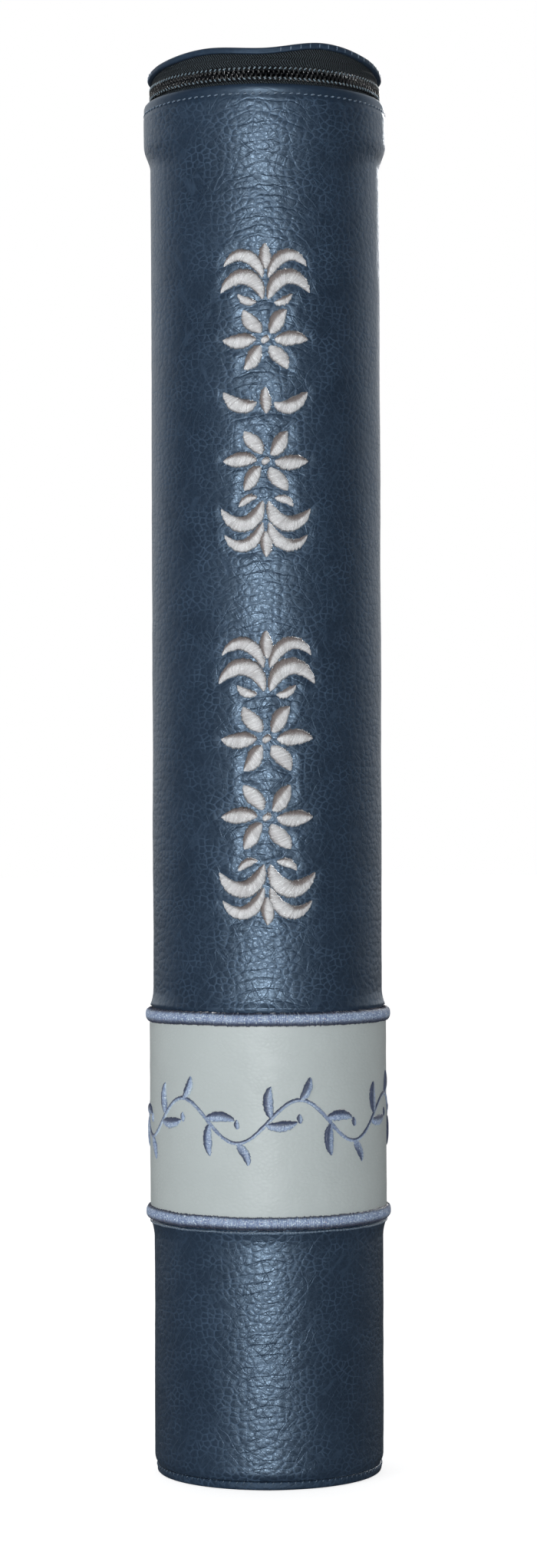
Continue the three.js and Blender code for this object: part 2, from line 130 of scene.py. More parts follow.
def gridObject(name, points, pattern=None, wrapRows=False, wrapColumns=True, merge=False,
               values=None):
    # A grid of points, rows upwards and columns counterclockwise, so faces point outwards.
    # pattern has one more row or column than points where the grid wraps.
    rows, columns = points.shape[:2]
    row, column = gridFaces(points.shape, [(0, 0), (0, 1), (1, 1), (1, 0)],
                            wrapRows, wrapColumns)
    flat = None if pattern is None else pattern[row, column]
    piece = meshObject(name, points.reshape(-1, 3), row % rows * columns + column % columns,
                       flat, values)
    if merge:
        closePoles(piece)
    return piece


def flatPattern(arcs, ways):
    # Flat coordinates of a surface wound round the case: along it and the way up it
    return np.stack(np.broadcast_arrays(arcs[None], ways[:, None]), -1)


def polarPattern(reach, angles):
    # Flat coordinates of a round surface: the way out from its middle, at each angle
    closing = np.append(angles, fullTurn)
    reach = reach.reshape(-1, 1)
    return np.stack([reach * np.sin(closing), reach * np.cos(closing)], -1)


def wayAlong(radius, height):
    # How far each row of a section is from its first, measured along the section
    return np.append(0, np.cumsum(np.hypot(np.diff(radius), np.diff(height))))


def repeatedObject(name, shape, faces, origins, sides, ups, outs):
    # One small shape set down many times: its own x, y and z run along sides, ups and outs
    corners = (origins[:, None] + shape[None, :, :1] * sides[:, None]
               + shape[None, :, 1:2] * ups[:, None] + shape[None, :, 2:] * outs[:, None])
    count, size = corners.shape[:2]
    quads = (faces[None] + (np.arange(count) * size)[:, None, None]).reshape(-1, 4)
    return meshObject(name, corners.reshape(-1, 3), quads)


def capsule(length, width, height, rings=6, around=6):
    # A rounded grain along x: rings of an ellipse whose size follows a circle's chord
    t = np.linspace(0, halfTurn, rings + 1)
    turn = evenAngles(around)
    x = np.repeat(-np.cos(t)[:, None] * length / 2, around, 1)
    chord = np.maximum(np.sin(t), 0.06)[:, None] ** 0.6
    y = chord * np.cos(turn) * width / 2
    z = chord * np.sin(turn) * height / 2
    index = np.arange((rings + 1) * around).reshape(rings + 1, around)
    after = np.roll(index, -1, 1)
    faces = np.stack([index[:-1], after[:-1], after[1:], index[1:]], -1).reshape(-1, 4)
    return np.stack([x, y, z], -1).reshape(-1, 3), faces[:, ::-1]


def ease(t):
    t = np.clip(t, 0, 1)
    return t * t * (3 - 2 * t)


def lattice(across, up, cell, period, fewest):
    # Places on a lattice of cells that closes after the period, and each place's cell
    across, up = np.broadcast_arrays(across, up)
    columns = max(fewest, round(period / cell))
    x = across / period * columns
    y = (up - up.min()) / cell
    return x, y, np.floor(x).astype(int), np.floor(y).astype(int), columns


def softNoise(across, up, cell, seed, period=girth):
    # Random heights on the corners of a lattice, eased between them
    x, y, i, j, columns = lattice(across, up, cell, period, 2)
    heights = np.random.default_rng(seed).uniform(-1, 1, (j.max() + 2, columns))
    u, v = ease(x - i), ease(y - j)
    i, k = i % columns, (i + 1) % columns
    low = heights[j, i] * (1 - u) + heights[j, k] * u
    high = heights[j + 1, i] * (1 - u) + heights[j + 1, k] * u
    return low * (1 - v) + high * v


def pebbles(across, up, cell, seed, period=girth):
    # Height of a pebbled skin: the difference between the distances to the two nearest of
    # a set of scattered points, which is 0 along a crease and rises on each pebble
    x, y, i, j, columns = lattice(across, up, cell, period, 3)
    spots = np.random.default_rng(seed).uniform(0, 1, (j.max() + 3, columns, 2))
    distances = []
    for a in (-1, 0, 1):
        for b in (-1, 0, 1):
            spot = spots[j + b + 1, (i + a) % columns]
            distances.append(np.hypot(i + a + spot[..., 0] - x, j + b + spot[..., 1] - y))
    nearest = np.sort(np.stack(distances), 0)
    return np.clip(nearest[1] - nearest[0], 0, 1)


# Material tools

def operation(title, swapped=False):
    # A method that adds one Math node
    def method(first, second=0.0):
        values = (second, first) if swapped else (first, second)
        return wire(first.tree, "Math", dict(enumerate(values)), operation=title)
    return method


class Wire:
    # What comes out of a shader node. Sums with it add Math nodes.
    def __init__(self, tree, socket):
        self.tree = tree
        self.socket = socket

    __add__ = __radd__ = operation("ADD")
    __mul__ = __rmul__ = operation("MULTIPLY")
    __sub__ = operation("SUBTRACT")
    __rsub__ = operation("SUBTRACT", swapped=True)
    __truediv__ = operation("DIVIDE")
    __abs__ = operation("ABSOLUTE")
    larger = operation("MAXIMUM")
    sine = operation("SINE")
    floor = operation("FLOOR")
    root = operation("SQRT")
    pingPong = operation("PINGPONG")


def feed(tree, socket, value):
    # A socket gets a wire, a colour of three parts or a plain value
    if isinstance(value, Wire):
        tree.links.new(value.socket, socket)
    else:
        socket.default_value = (*value, 1.0) if socket.type == "RGBA" else value


def newNode(tree, kind, inputs, **settings):
    node = tree.nodes.new("ShaderNode" + kind)
    for name, value in settings.items():
        setattr(node, name, value)
    for name, value in inputs.items():
        feed(tree, node.inputs[name], value)
    return node


def wire(tree, kind, inputs, output=0, **settings):
    return Wire(tree, newNode(tree, kind, inputs, **settings).outputs[output])


def remap(value, low, high, toLow=0.0, toHigh=1.0):
    return wire(value.tree, "MapRange", {
        "Value": value, "From Min": low, "From Max": high, "To Min": toLow, "To Max": toHigh,
    }, interpolation_type="SMOOTHSTEP")


def mixed(factor, first, second):
    # From the first colour to the second
    return wire(factor.tree, "Mix", {0: factor, 6: first, 7: second}, 2, data_type="RGBA")


def partsOf(vector):
    # Its X, Y and Z
    node = newNode(vector.tree, "SeparateXYZ", {0: vector})
    return [Wire(vector.tree, socket) for socket in node.outputs]


def flatMap(tree):
    return wire(tree, "UVMap", {}, "UV", uv_map="flatMap")


def objectPlace(tree):
    return wire(tree, "TexCoord", {}, "Object")


def attribute(tree, name):
    return wire(tree, "Attribute", {}, "Fac", attribute_name=name)


def noise(vector, scale, detail=2.0, roughness=0.5, output="Fac"):
    return wire(vector.tree, "TexNoise", {"Vector": vector, "Scale": scale, "Detail": detail,
                                          "Roughness": roughness}, output)


def cells(vector, size, feature, **inputs):
    # Distances in a pattern of scattered cells of about this size
    return wire(vector.tree, "TexVoronoi", {"Vector": vector, "Scale": 1 / size, **inputs},
                "Distance", feature=feature, voronoi_dimensions="2D")


def vectorSum(title, first, second):
    return wire(first.tree, "VectorMath", {0: first, 1: second}, operation=title)


def stretched(vector, x, y):
    return vectorSum("MULTIPLY", vector, (x, y, 1.0))


def warped(vector, scale, reach):
    # The coordinates pushed about by a soft noise
    push = vectorSum("SUBTRACT", noise(vector, scale, output="Color"), (0.5, 0.5, 0.5))
    return vectorSum("ADD", vector, vectorSum("MULTIPLY", push, (reach, reach, 0.0)))


def bumpOf(height, distance, **normal):
    # distance in mm
    return wire(height.tree, "Bump", {"Height": height, "Distance": distance * mm, **normal})


def newMaterial(name):
    material = bpy.data.materials.new(name)
    material.use_nodes = True
    return material, material.node_tree


def shaded(material, **sockets):
    # The material with the sockets of its Principled shader wired or set
    shader = material.node_tree.nodes["Principled BSDF"]
    for title, value in sockets.items():
        feed(material.node_tree, shader.inputs[title.replace("_", " ")], value)
    return material


# Materials

def pebbledLeather(name, look):
    # Rounded pebbles parted by creases of uneven depth, a finer net of wrinkles, long faint
    # folds and a grain of pores. Creases are matt and a little paler than the pebbles.
    material, tree = newMaterial(name)
    flat = flatMap(tree)
    skin = stretched(warped(flat, 0.32, look.warp), 1.0, look.tall)
    thin = stretched(warped(flat, 0.7, 0.9), 1.0, look.tall)
    edge = cells(skin, look.pebble, "DISTANCE_TO_EDGE", Randomness=0.92)
    middle = cells(skin, look.pebble, "SMOOTH_F1", Randomness=0.92, Smoothness=0.55)
    net = cells(thin, look.wrinkle, "DISTANCE_TO_EDGE", Randomness=1.0)
    grain = noise(flat, 3.4, 4.0, 0.7)
    depth = remap(noise(flat, 0.13), 0.35, 0.65, 0.15, 1.0)
    loose = 1.0 - attribute(tree, "pull")
    folds = []
    for lean in (1, -1):
        turned = wire(tree, "VectorRotate", {
            "Vector": skin, "Angle": lean * look.foldLean}, rotation_type="Z_AXIS")
        wave = noise(stretched(turned, look.foldAcross, look.foldAlong), 1.0, 1.0)
        folds.append(remap(abs(wave - 0.5), look.foldWidth, 0.0))
    fold = folds[0].larger(folds[1]) * (1.25 - depth)
    # Arched wrinkles down the front, one above the other
    x, y, _ = partsOf(warped(flat, 0.16, 3.2))
    wave = ((y + x * x * 0.02) * (halfTurn / look.arch)).sine()
    arch = remap(abs(wave), 0.45, 0.0) * (remap(abs(x), 17.0, 5.0) * (1.3 - depth))
    body = (remap(edge, 0.0, look.creaseWidth) * depth * look.creaseShare
            + remap(middle, 0.8, 0.05) * look.domeShare
            + remap(net, 0.0, 0.2) * look.wrinkleShare
            - fold * look.foldShare - arch * look.archShare)
    relief = body * loose + grain * 0.07
    crease = (1.0 - remap(edge, 0.0, look.creaseWidth * 0.7)) * depth
    crease = crease.larger(fold * look.foldShade) * loose
    fine = (1.0 - remap(net, 0.0, 0.09)) * loose
    dyed = mixed(remap(noise(flat, 0.05, 3.0), 0.3, 0.7), look.deep, look.dye)
    dyed = mixed(fine * look.fineShade, dyed, look.worn)
    dyed = mixed(crease * look.creaseShade, dyed, look.crease)
    rough = look.rough + crease.larger(fine) * 0.25 + (grain - 0.5) * 0.3
    if "holes" in look:
        # Needle holes between the stitches of a seam, pressed in, with painted shade in them
        holes = look.holes
        x, y, _ = partsOf(flat)
        across = ((x / holes.pitch).pingPong(0.5) - 0.5) * holes.pitch
        up = y - holes.line
        hole = remap((across * across + up * up).root(), 0.42, 0.2)
        dyed = mixed(hole, dyed, holes.shade)
        relief = relief - hole * 1.2
    return shaded(material, Base_Color=dyed, Roughness=rough, IOR=look.index,
                  Specular_IOR_Level=look.shine, Specular_Tint=look.shineTint,
                  Normal=bumpOf(relief, look.depth))


def threadMaterial(name, look):
    # Threads side by side: each has its own tone, fine filaments and a few bright glints, which
    # are painted highlights in the colour
    material, tree = newMaterial(name)
    flat = flatMap(tree)
    along, up, _ = partsOf(flat)
    tone = wire(tree, "TexWhiteNoise", {"W": (along / look.pitch).floor()}, "Value",
                noise_dimensions="1D")
    glint = noise(stretched(flat, 1 / look.pitch, 1 / look.glintLength), 1.0, 2.0, 0.7)
    filament = noise(stretched(flat, 9.0, 0.9), 1.0, 3.0)
    grains = noise(flat, look.grainScale, 2.0, 0.8)
    spark = remap(glint, look.glintFrom, look.glintFrom + 0.12).larger(
        remap(grains, 0.60, 0.68))
    shade = remap(grains, 0.46, 0.34).larger(
        remap(noise(flat, 0.22, 1.0), 0.52, 0.36, 0.0, look.broad))
    base = mixed(tone, look.low, look.high)
    base = mixed(shade * look.shadeShare, base, look.shade)
    base = mixed(spark * look.glintShare, base, look.glint)
    if "shadow" in look:
        # Painted shade: strokes are darker on their upper left side and near both edges, as if lit
        # from the lower right, and a painted highlight runs along their lower right edge
        start = look.shadowFrom
        ragged = attribute(tree, "lean") + (grains - 0.5) * look.ragged
        edge = remap(attribute(tree, "edge"), 0.7, 1.0, 0.0, look.edgeDark)
        base = mixed(remap(ragged, start, start + 0.4, 0.0, look.shadowShare), base,
                     look.shadow)
        base = mixed(edge, base, look.shadow)
        base = mixed(remap(ragged, -0.55, -0.9, 0.0, look.shineShare), base, look.glint)
    if "fleck" in look:
        # Rare warm flecks, then painted shade at both edges, where the threads dive into the
        # leather, and painted shade towards the lower side
        base = mixed(remap(noise(flat, 2.3, 1.0), 0.70, 0.74), base, look.fleck)
        base = mixed(remap(abs(up), look.edge - 0.75, look.edge), base,
                     look.edgeShade)
        base = mixed(remap(up, 0.0, -1.35, 0.0, look.dusk), base, look.edgeShade)
    rough = remap(filament, 0.3, 0.7, look.rough - 0.1, look.rough + 0.12)
    return shaded(material, Base_Color=base, Roughness=rough, Specular_IOR_Level=0.6,
                  Sheen_Weight=0.15, Sheen_Roughness=0.4,
                  Normal=bumpOf(filament, look.filament))


def tapeMaterial(name, look):
    # Herringbone: slanted ribs whose slant turns round from one row to the next
    material, tree = newMaterial(name)
    flat = flatMap(tree)
    x, y, _ = partsOf(flat)
    zigzag = y.pingPong(look.row)
    rib = ((x + zigzag) * (fullTurn / look.rib)).sine()
    yarn = ((x - zigzag) * (fullTurn / (look.rib * 0.8))).sine()
    fuzz = noise(flat, 2.5, 4.0)
    height = rib * 0.4 + yarn * 0.15 + fuzz * 0.5
    return shaded(material, Base_Color=mixed(remap(height, 0.0, 0.6), look.gap,
                                             look.thread),
                  Roughness=remap(fuzz, 0.3, 0.7, 0.6, 0.85), Specular_IOR_Level=0.3,
                  Normal=bumpOf(height, look.depth))


def clothMaterial(name, look):
    # Plain weave: two sets of yarns that take turns on top
    material, tree = newMaterial(name)
    flat = flatMap(tree)
    x, y, _ = partsOf(flat)
    turn = halfTurn / look.yarn
    weave = abs((x * turn).sine() * (y * turn).sine())
    slub = noise(stretched(flat, 0.3, 3.0), 1.0, 3.0)
    return shaded(material, Base_Color=mixed(weave * slub, look.gap, look.thread),
                  Roughness=remap(slub, 0.3, 0.7, 0.75, 0.95), Specular_IOR_Level=0.1,
                  Normal=bumpOf(weave, look.depth))


def boardMaterial(name, look):
    # Grey board: short fibres and darker specks
    material, tree = newMaterial(name)
    fibre = noise(objectPlace(tree), 900.0, 5.0)
    speck = remap(noise(objectPlace(tree), 2600.0), 0.66, 0.74)
    base = mixed(speck, mixed(remap(fibre, 0.3, 0.7), look.dark, look.pale),
                 look.speck)
    return shaded(material, Base_Color=base, Roughness=remap(fibre, 0.2, 0.8, 0.8, 0.95),
                  Specular_IOR_Level=0.2, Normal=bumpOf(fibre, look.depth))


def enamelMaterial(name, look):
    # Gloss black with fine orange peel, and another shade where it is rubbed
    material, tree = newMaterial(name)
    softEdge = wire(tree, "Bevel", {"Radius": look.edge * mm}, samples=4)
    peel = noise(objectPlace(tree), 1800.0)
    rub = noise(objectPlace(tree), 420.0, 6.0, 0.7)
    worn = remap(rub, 0.62, 0.7)
    return shaded(material, Base_Color=mixed(worn, look.dye, look.rubbed),
                  Roughness=remap(rub, 0.3, 0.7, look.rough, 0.5), Metallic=worn * 0.8,
                  Specular_IOR_Level=look.shine, Coat_Weight=look.coat,
                  Coat_Roughness=0.15, Normal=bumpOf(peel, 0.02, Normal=softEdge))


hemStitches = Values(line=414.1, count=102)

navyLook = Values(
    dye=(0.014, 0.029, 0.056), deep=(0.0095, 0.0215, 0.044),
    crease=(0.056, 0.100, 0.172), worn=(0.032, 0.058, 0.102),
    pebble=2.35, wrinkle=1.1, wrinkleShare=0.08, domeShare=0.5, warp=1.5,
    creaseWidth=0.24, creaseShare=0.2, creaseShade=0.7, fineShade=0.3,
    foldLean=0.55, foldAcross=0.21, foldAlong=0.045, foldWidth=0.02, foldShare=0.3,
    foldShade=0.5, arch=3.1, archShare=0.5, tall=1.3, depth=0.19,
    rough=0.395, index=1.75, shine=1.0, shineTint=(0.57, 0.77, 1.0),
)
sleeveLook = Values(navyLook, holes=Values(
    pitch=girth / hemStitches.count, line=hemStitches.line, shade=(0.004, 0.006, 0.010)))
lidLook = Values(navyLook, rough=0.58, index=1.5)
paleLook = Values(
    navyLook,
    dye=(0.485, 0.535, 0.535), deep=(0.465, 0.515, 0.515),
    crease=(0.43, 0.475, 0.475), worn=(0.45, 0.50, 0.50),
    pebble=1.5, wrinkle=0.8, wrinkleShare=0.05, domeShare=0.75, warp=1.2,
    creaseWidth=0.4, creaseShade=0.25, fineShade=0.1, foldLean=1.3, foldShare=0.08,
    archShare=0.1, tall=1.35, depth=0.055,
    rough=0.42, index=1.5, shine=0.5, shineTint=(1.0, 1.0, 1.0),
)
silverLook = Values(
    low=(0.48, 0.48, 0.49), high=(0.67, 0.675, 0.69), shade=(0.25, 0.225, 0.23),
    glint=(0.88, 0.91, 0.93), shadow=(0.13, 0.10, 0.092),
    pitch=0.42, glintLength=1.6, glintFrom=0.56, grainScale=3.6, broad=0.35,
    shadeShare=0.6, glintShare=0.8, shadowFrom=0.04, shadowShare=0.88, edgeDark=0.25,
    shineShare=0.7, ragged=1.2, filament=0.06, rough=0.38,
)
blueLook = Values(
    low=(0.15, 0.21, 0.37), high=(0.27, 0.36, 0.53), shade=(0.045, 0.065, 0.16),
    glint=(0.76, 0.88, 0.93),
    pitch=0.45, glintLength=0.5, glintFrom=0.54, grainScale=3.8, broad=0.0,
    shadeShare=0.85, glintShare=0.9, filament=0.06, rough=0.38,
)
vineLook = Values(
    {**silverLook, **blueLook},
    low=(0.20, 0.27, 0.44), high=(0.36, 0.46, 0.64), shadow=(0.018, 0.026, 0.070),
    shadowFrom=-0.12, edgeDark=0.6,
)
borderLook = Values(
    blueLook,
    low=(0.17, 0.235, 0.40), high=(0.31, 0.40, 0.57), fleck=(0.75, 0.50, 0.42),
    edgeShade=(0.015, 0.020, 0.050), pitch=0.6, edge=1.8, dusk=0.85, glintShare=1.0,
)
stitchLook = Values(
    blueLook,
    low=(0.09, 0.14, 0.20), high=(0.14, 0.20, 0.28), shade=(0.05, 0.08, 0.12),
    glint=(0.34, 0.42, 0.50), pitch=0.3, broad=0.35, glintLength=1.6, glintFrom=0.56,
    shadeShare=0.75, glintShare=0.8,
)
seamLook = Values(
    stitchLook,
    low=(0.045, 0.075, 0.115), high=(0.085, 0.13, 0.185), glint=(0.20, 0.27, 0.35),
)
sewingLook = Values(
    stitchLook,
    low=(0.10, 0.145, 0.18), high=(0.18, 0.25, 0.30), shade=(0.010, 0.014, 0.018),
    glint=(0.44, 0.56, 0.64),
)
tapeLook = Values(thread=(0.052, 0.068, 0.080), gap=(0.003, 0.004, 0.005), row=1.2, rib=0.8,
                depth=0.3)
liningLook = Values(thread=(0.028, 0.043, 0.074), gap=(0.010, 0.014, 0.022), yarn=0.6,
                  depth=0.08)
boardLook = Values(dark=(0.21, 0.185, 0.15), pale=(0.33, 0.295, 0.24),
                 speck=(0.09, 0.08, 0.065), depth=0.08)
coilLook = Values(dye=(0.006, 0.007, 0.009), rubbed=(0.010, 0.012, 0.014), rough=0.13,
                shine=0.65, coat=0.0, edge=0.02)
enamelLook = Values(coilLook, rubbed=(0.32, 0.31, 0.29), rough=0.3, shine=0.5, coat=0.5,
                  edge=0.22)

sleeveLeather = pebbledLeather("sleeveLeather", sleeveLook)
lidLeather = pebbledLeather("lidLeather", lidLook)
paleLeather = pebbledLeather("paleLeather", paleLook)
silverThread = threadMaterial("silverThread", silverLook)
vineThread = threadMaterial("vineThread", vineLook)
borderThread = threadMaterial("borderThread", borderLook)
stitchThread = threadMaterial("stitchThread", stitchLook)
seamThread = threadMaterial("seamThread", seamLook)
sewingThread = threadMaterial("sewingThread", sewingLook)
zipTape = tapeMaterial("zipTape", tapeLook)
liningCloth = clothMaterial("liningCloth", liningLook)
greyBoard = boardMaterial("greyBoard", boardLook)
coilNylon = enamelMaterial("coilNylon", coilLook)
blackEnamel = enamelMaterial("blackEnamel", enamelLook)
print("materials made")


def finished(piece, material, body, slot=None, nodes=()):
    # The piece gets its material, its body and the nodes it stands for
    piece.data.materials.append(material)
    if body:
        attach(piece, body)
    if nodes:
        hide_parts(*nodes)


def caseSkin(name, angles, radius, levels, pattern, finish, pull=None, **wraps):
    # A piece made of rows round the case, with its material, body, slot and nodes in finish; the
    # slot is not used
    points = onCase(angles[None], radius, levels)
    values = None if pull is None else {"pull": np.full(points.shape[:2], pull)}
    finished(gridObject(name, points, pattern, values=values, **wraps), *finish)


for title, material in {
    "core_tube": greyBoard, "base_board": greyBoard, "lid_board": greyBoard,
    "zip_top_stop_lower": blackEnamel, "zip_top_stop_upper": blackEnamel,
    "zip_bottom_stop": blackEnamel, "zip_slider": blackEnamel, "zip_pull": blackEnamel,
}.items():
    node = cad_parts[title]
    node.data.materials.clear()
    node.data.materials.append(material)


# Needlework: satin stitch in raised strokes

needlework = Values(
    threadPitch=0.42, crown=1.05, sink=0.3, samplesPerThread=4, across=9, serration=0.17,
    slant=0.35, shadowSide=[-0.72, 0.69],
)


def bezier(corners, count):
    # A cubic curve through its end points, pulled towards the two between
    p = np.asarray(corners, float)
    t = np.linspace(0, 1, count)[:, None]
    return ((1 - t) ** 3 * p[0] + 3 * (1 - t) ** 2 * t * p[1]
            + 3 * (1 - t) * t * t * p[2] + t ** 3 * p[3])


def evenPath(path, step):
    # The same path with points an even distance apart
    reach = wayAlong(*path.T)
    places = np.linspace(0, reach[-1], max(4, int(reach[-1] / step) + 1))
    return np.stack([np.interp(places, reach, path[:, k]) for k in (0, 1)], 1), places


def allRound(values):
    # Values across the face of a stroke, then some of them again on its underside
    return np.concatenate([values, values[:, ::-1][:, 1:-1:3]], 1)


def satinStroke(path, halfWidth, radius, crown, seed):
    # A stroke along a flat path: a dome across it, ridged by its threads, with their ends
    # a little uneven. halfWidth is a function of the share of the way along.
    look = needlework
    path, places = evenPath(path, look.threadPitch / look.samplesPerThread)
    along = np.gradient(path, axis=0)
    along /= np.hypot(*along.T)[:, None]
    aside = np.stack([-along[:, 1], along[:, 0]], 1)
    thread = places / look.threadPitch
    random = np.random.default_rng(seed)
    uneven = random.uniform(-1, 1, (int(thread.max()) + 2, 2))
    ridge = (np.abs(np.sin(thread * halfTurn)) ** 0.7)[:, None]
    half = halfWidth(places / places[-1])[:, None]
    across = np.linspace(-1, 1, look.across)
    ends = half + look.serration * np.minimum(1, half) * (
        uneven[np.floor(thread).astype(int)] + ridge - 0.6)
    ends = np.maximum(ends, 0.05)
    offset = np.maximum(across, 0) * ends[:, 1:] - np.maximum(-across, 0) * ends[:, :1]
    dome = np.sqrt(np.maximum(0, 1 - np.abs(across) ** 2.4))
    lift = np.minimum(1, half / 1.6) ** 0.6
    height = allRound(crown * lift * dome * (0.92 + 0.08 * ridge) - look.sink * 0.5)
    height[:, look.across:] = -look.sink
    height[0], height[-1] = -look.sink, -look.sink
    slanted = along[:, None] * (look.slant * offset)[..., None]
    flat = allRound(path[:, None] + aside[:, None] * offset[..., None] + slanted)
    flat[0], flat[-1] = flat[0].mean(0), flat[-1].mean(0)
    width = allRound(offset)
    # lean: how far each point lies towards shadowSide, which sets the stroke's painted shade;
    # edge: how near its edge it is, for painted shade there
    lean = allRound((aside @ look.shadowSide)[:, None] * across)
    edge = allRound(np.broadcast_to(np.abs(across), offset.shape))
    wound = np.repeat(places[:, None], width.shape[1], 1) + 7.3 * seed
    points = onCase(halfTurn + flat[..., 0] / radius, radius + height, flat[..., 1])
    return points, np.stack([wound, width], -1), {"lean": lean, "edge": edge}


def strokesObject(name, strokes):
    # Many strokes joined into one mesh, each a closed tube drawn together at its ends
    corners, quads, flats, start = [], [], [], 0
    for points, pattern, _ in strokes:
        rows, columns = points.shape[:2]
        row, column = gridFaces(points.shape, [(0, 0), (1, 0), (1, 1), (0, 1)])
        column %= columns
        corners.append(points.reshape(-1, 3))
        quads.append(start + row * columns + column)
        flats.append(pattern[row, column])
        start += rows * columns
    values = {title: np.concatenate([stroke[2][title].ravel() for stroke in strokes])
              for title in ("lean", "edge")}
    piece = meshObject(name, np.concatenate(corners), np.concatenate(quads),
                       np.concatenate(flats), values)
    closePoles(piece)
    return piece


def leafWidth(widest, blunt=0.75):
    # Pointed at both ends, fullest a little before the middle
    return lambda share: widest * np.sin(halfTurn * share ** 0.9) ** blunt


def mirrored(path):
    return np.asarray(path) * [-1, 1]


def palmette():
    # Two pairs of arching leaves on each side of an upright bud, over a small foot
    outer = bezier([(0.9, -7.4), (2.2, 0.4), (9.4, 2.0), (13.6, -5.2)], 60)
    inner = bezier([(0.9, -1.0), (2.6, 6.0), (8.6, 8.4), (12.6, 2.6)], 60)
    bud = bezier([(0, 1.6), (0, 4.2), (0, 6.8), (0, 9.4)], 30)
    foot = bezier([(2.6, -8.2), (5.0, -8.4), (6.6, -7.6), (8.2, -5.6)], 30)
    return [(outer, 2.5), (mirrored(outer), 2.5), (inner, 2.0), (mirrored(inner), 2.0),
            (bud, 1.9), (foot, 1.3), (mirrored(foot), 1.3)]


def rosette():
    # Six petals round a small eye
    petals = []
    reach = np.array([[2.4], [5.4], [8.2], [11.6]])
    bend = np.array([[0], [0.5], [0.5], [0]])
    for turn in evenAngles(6):
        way = np.array([[math.cos(turn) * 1.12, math.sin(turn) * 0.88]])
        petals.append((bezier(reach * way + bend * way[:, ::-1] * [-1, 1], 40), 2.35))
    eye = bezier([(-1.3, 0), (-0.5, 0), (0.5, 0), (1.3, 0)], 12)
    return petals + [(eye, 1.25)]


def spray():
    # A pair of level leaves with a short bud between them
    leaf = bezier([(2.6, -0.6), (6.0, -3.4), (10.0, -1.2), (12.8, 2.6)], 50)
    bud = bezier([(0, -4.0), (0, -1.4), (0, 1.4), (0, 4.0)], 24)
    return [(leaf, 2.3), (mirrored(leaf), 2.3), (bud, 1.8)]


frontGroups = Values(
    upper=Values(middle=323.5, scale=1.0, places=[37.2, 18.0, 0.0, -18.0, -37.2],
                 kinds=[palmette, rosette, spray, rosette, palmette], flips=[1, 1, 1, -1, -1]),
    lower=Values(middle=211.5, scale=1.08, places=[33.6, 11.6, -11.6, -33.6],
                 kinds=[palmette, rosette, rosette, palmette], flips=[1, 1, -1, -1]),
)
frontPaths = []
for title, group in frontGroups.items():
    strokes = []
    scale = group.scale
    for place, kind, flip in zip(group.places, group.kinds, group.flips):
        for path, widest in kind():
            path = path * [scale, scale * flip] + [0, group.middle + place]
            frontPaths.append((path, widest * scale))
            strokes.append(satinStroke(path, leafWidth(widest * scale), case.bodyRadius,
                                       needlework.crown, len(frontPaths)))
    finished(strokesObject("front_needlework_" + title, strokes), silverThread, "case")
print("front needlework stitched:", len(frontPaths), "strokes")

vine = Values(
    middle=109.6, periods=6, swing=6.4, stemHalf=0.62, leafLength=9.6, leafHalf=1.7,
    leafTurn=0.88, tipLength=7.4, tipHalf=1.5, tipTurn=0.95, seedInside=5.6, seedHalf=0.95,
    crown=0.8,
)


def vineLeaf(foot, turn, reach, widest, curl):
    # A leaf that leaves the stem in one direction and curls a little to one side
    way = np.array([math.cos(turn), math.sin(turn)])
    aside = np.array([-way[1], way[0]]) * curl
    leaf = bezier([foot, foot + way * reach * 0.35 + aside * 0.5, foot + way * reach * 0.7
                   + aside * 0.3, foot + way * reach - aside], 40)
    return leaf, leafWidth(widest, 0.65)


def bandVine():
    # A stem that swings up and down round the band, with a pair of leaves where it is
    # steep, one leaf at the outside of each bend and a seed on its inside
    around = fullTurn * case.bandRadius
    wave = around / vine.periods

    def onStem(at):
        return np.stack([at, vine.middle + vine.swing * np.sin(fullTurn * at / wave)], -1)

    stem = onStem(np.linspace(-around / 2, around / 2, 1600))
    strokes = [(stem, lambda share: vine.stemHalf + 0 * share)]
    for k in range(2 * vine.periods):
        at = -around / 2 + wave * k / 2
        side = 1 if k % 2 == 0 else -1
        slope = vine.swing * fullTurn / wave * np.cos(fullTurn * at / wave)
        for hand in (1, -1):
            strokes.append(vineLeaf(onStem(at + 0.8 * hand * side),
                                    math.atan(slope) + hand * vine.leafTurn,
                                    vine.leafLength, vine.leafHalf, hand * 1.3))
        foot = onStem(at + wave / 4)
        strokes.append(vineLeaf(foot, side * vine.tipTurn, vine.tipLength,
                                vine.tipHalf, side * -1.2))
        seed = foot - [0, side * vine.seedInside]
        strokes.append((np.linspace(seed - [0, 1.5], seed + [0, 1.5], 12),
                        leafWidth(vine.seedHalf)))
    return strokes


vineStrokes = [satinStroke(path, half, case.bandRadius, vine.crown, 100 + k)
               for k, (path, half) in enumerate(bandVine())]
finished(strokesObject("band_needlework", vineStrokes), vineThread, "case", "blue_thread")
print("band needlework stitched:", len(vineStrokes), "strokes")


# Leather sleeve, in the two lengths that show above and below the band

sleeve = Values(
    columns=276, inner=33.9, flare=1.0, flareHeight=5.0, hemFull=404.8, hemStart=397.6,
    hemDraw=8.0, tight=0.32, rollHeight=3.2, rollBulge=0.32, stitchDent=0.28, dimple=0.045,
    sway=0.13, pucker=0.34, puckerReach=1.5, seamDepth=0.45, seamHalf=0.5,
    bottom=2.9, turnIn=0.9, turnInHeight=2.6, borderReach=2.7, tightReach=17, hemFoot=404.0,
    puckerHalf=22, puckerBottom=150, puckerTop=385,
)


def sleeveAngles(count):
    # Even angles, with a few more beside the seam down the back
    seam = np.array([-2.2, -1, 0, 1, 2.2]) * sleeve.seamHalf / case.bodyRadius
    clear = 3.2 * sleeve.seamHalf / case.bodyRadius
    return np.concatenate([seam, np.linspace(clear, fullTurn - clear, count - len(seam))])


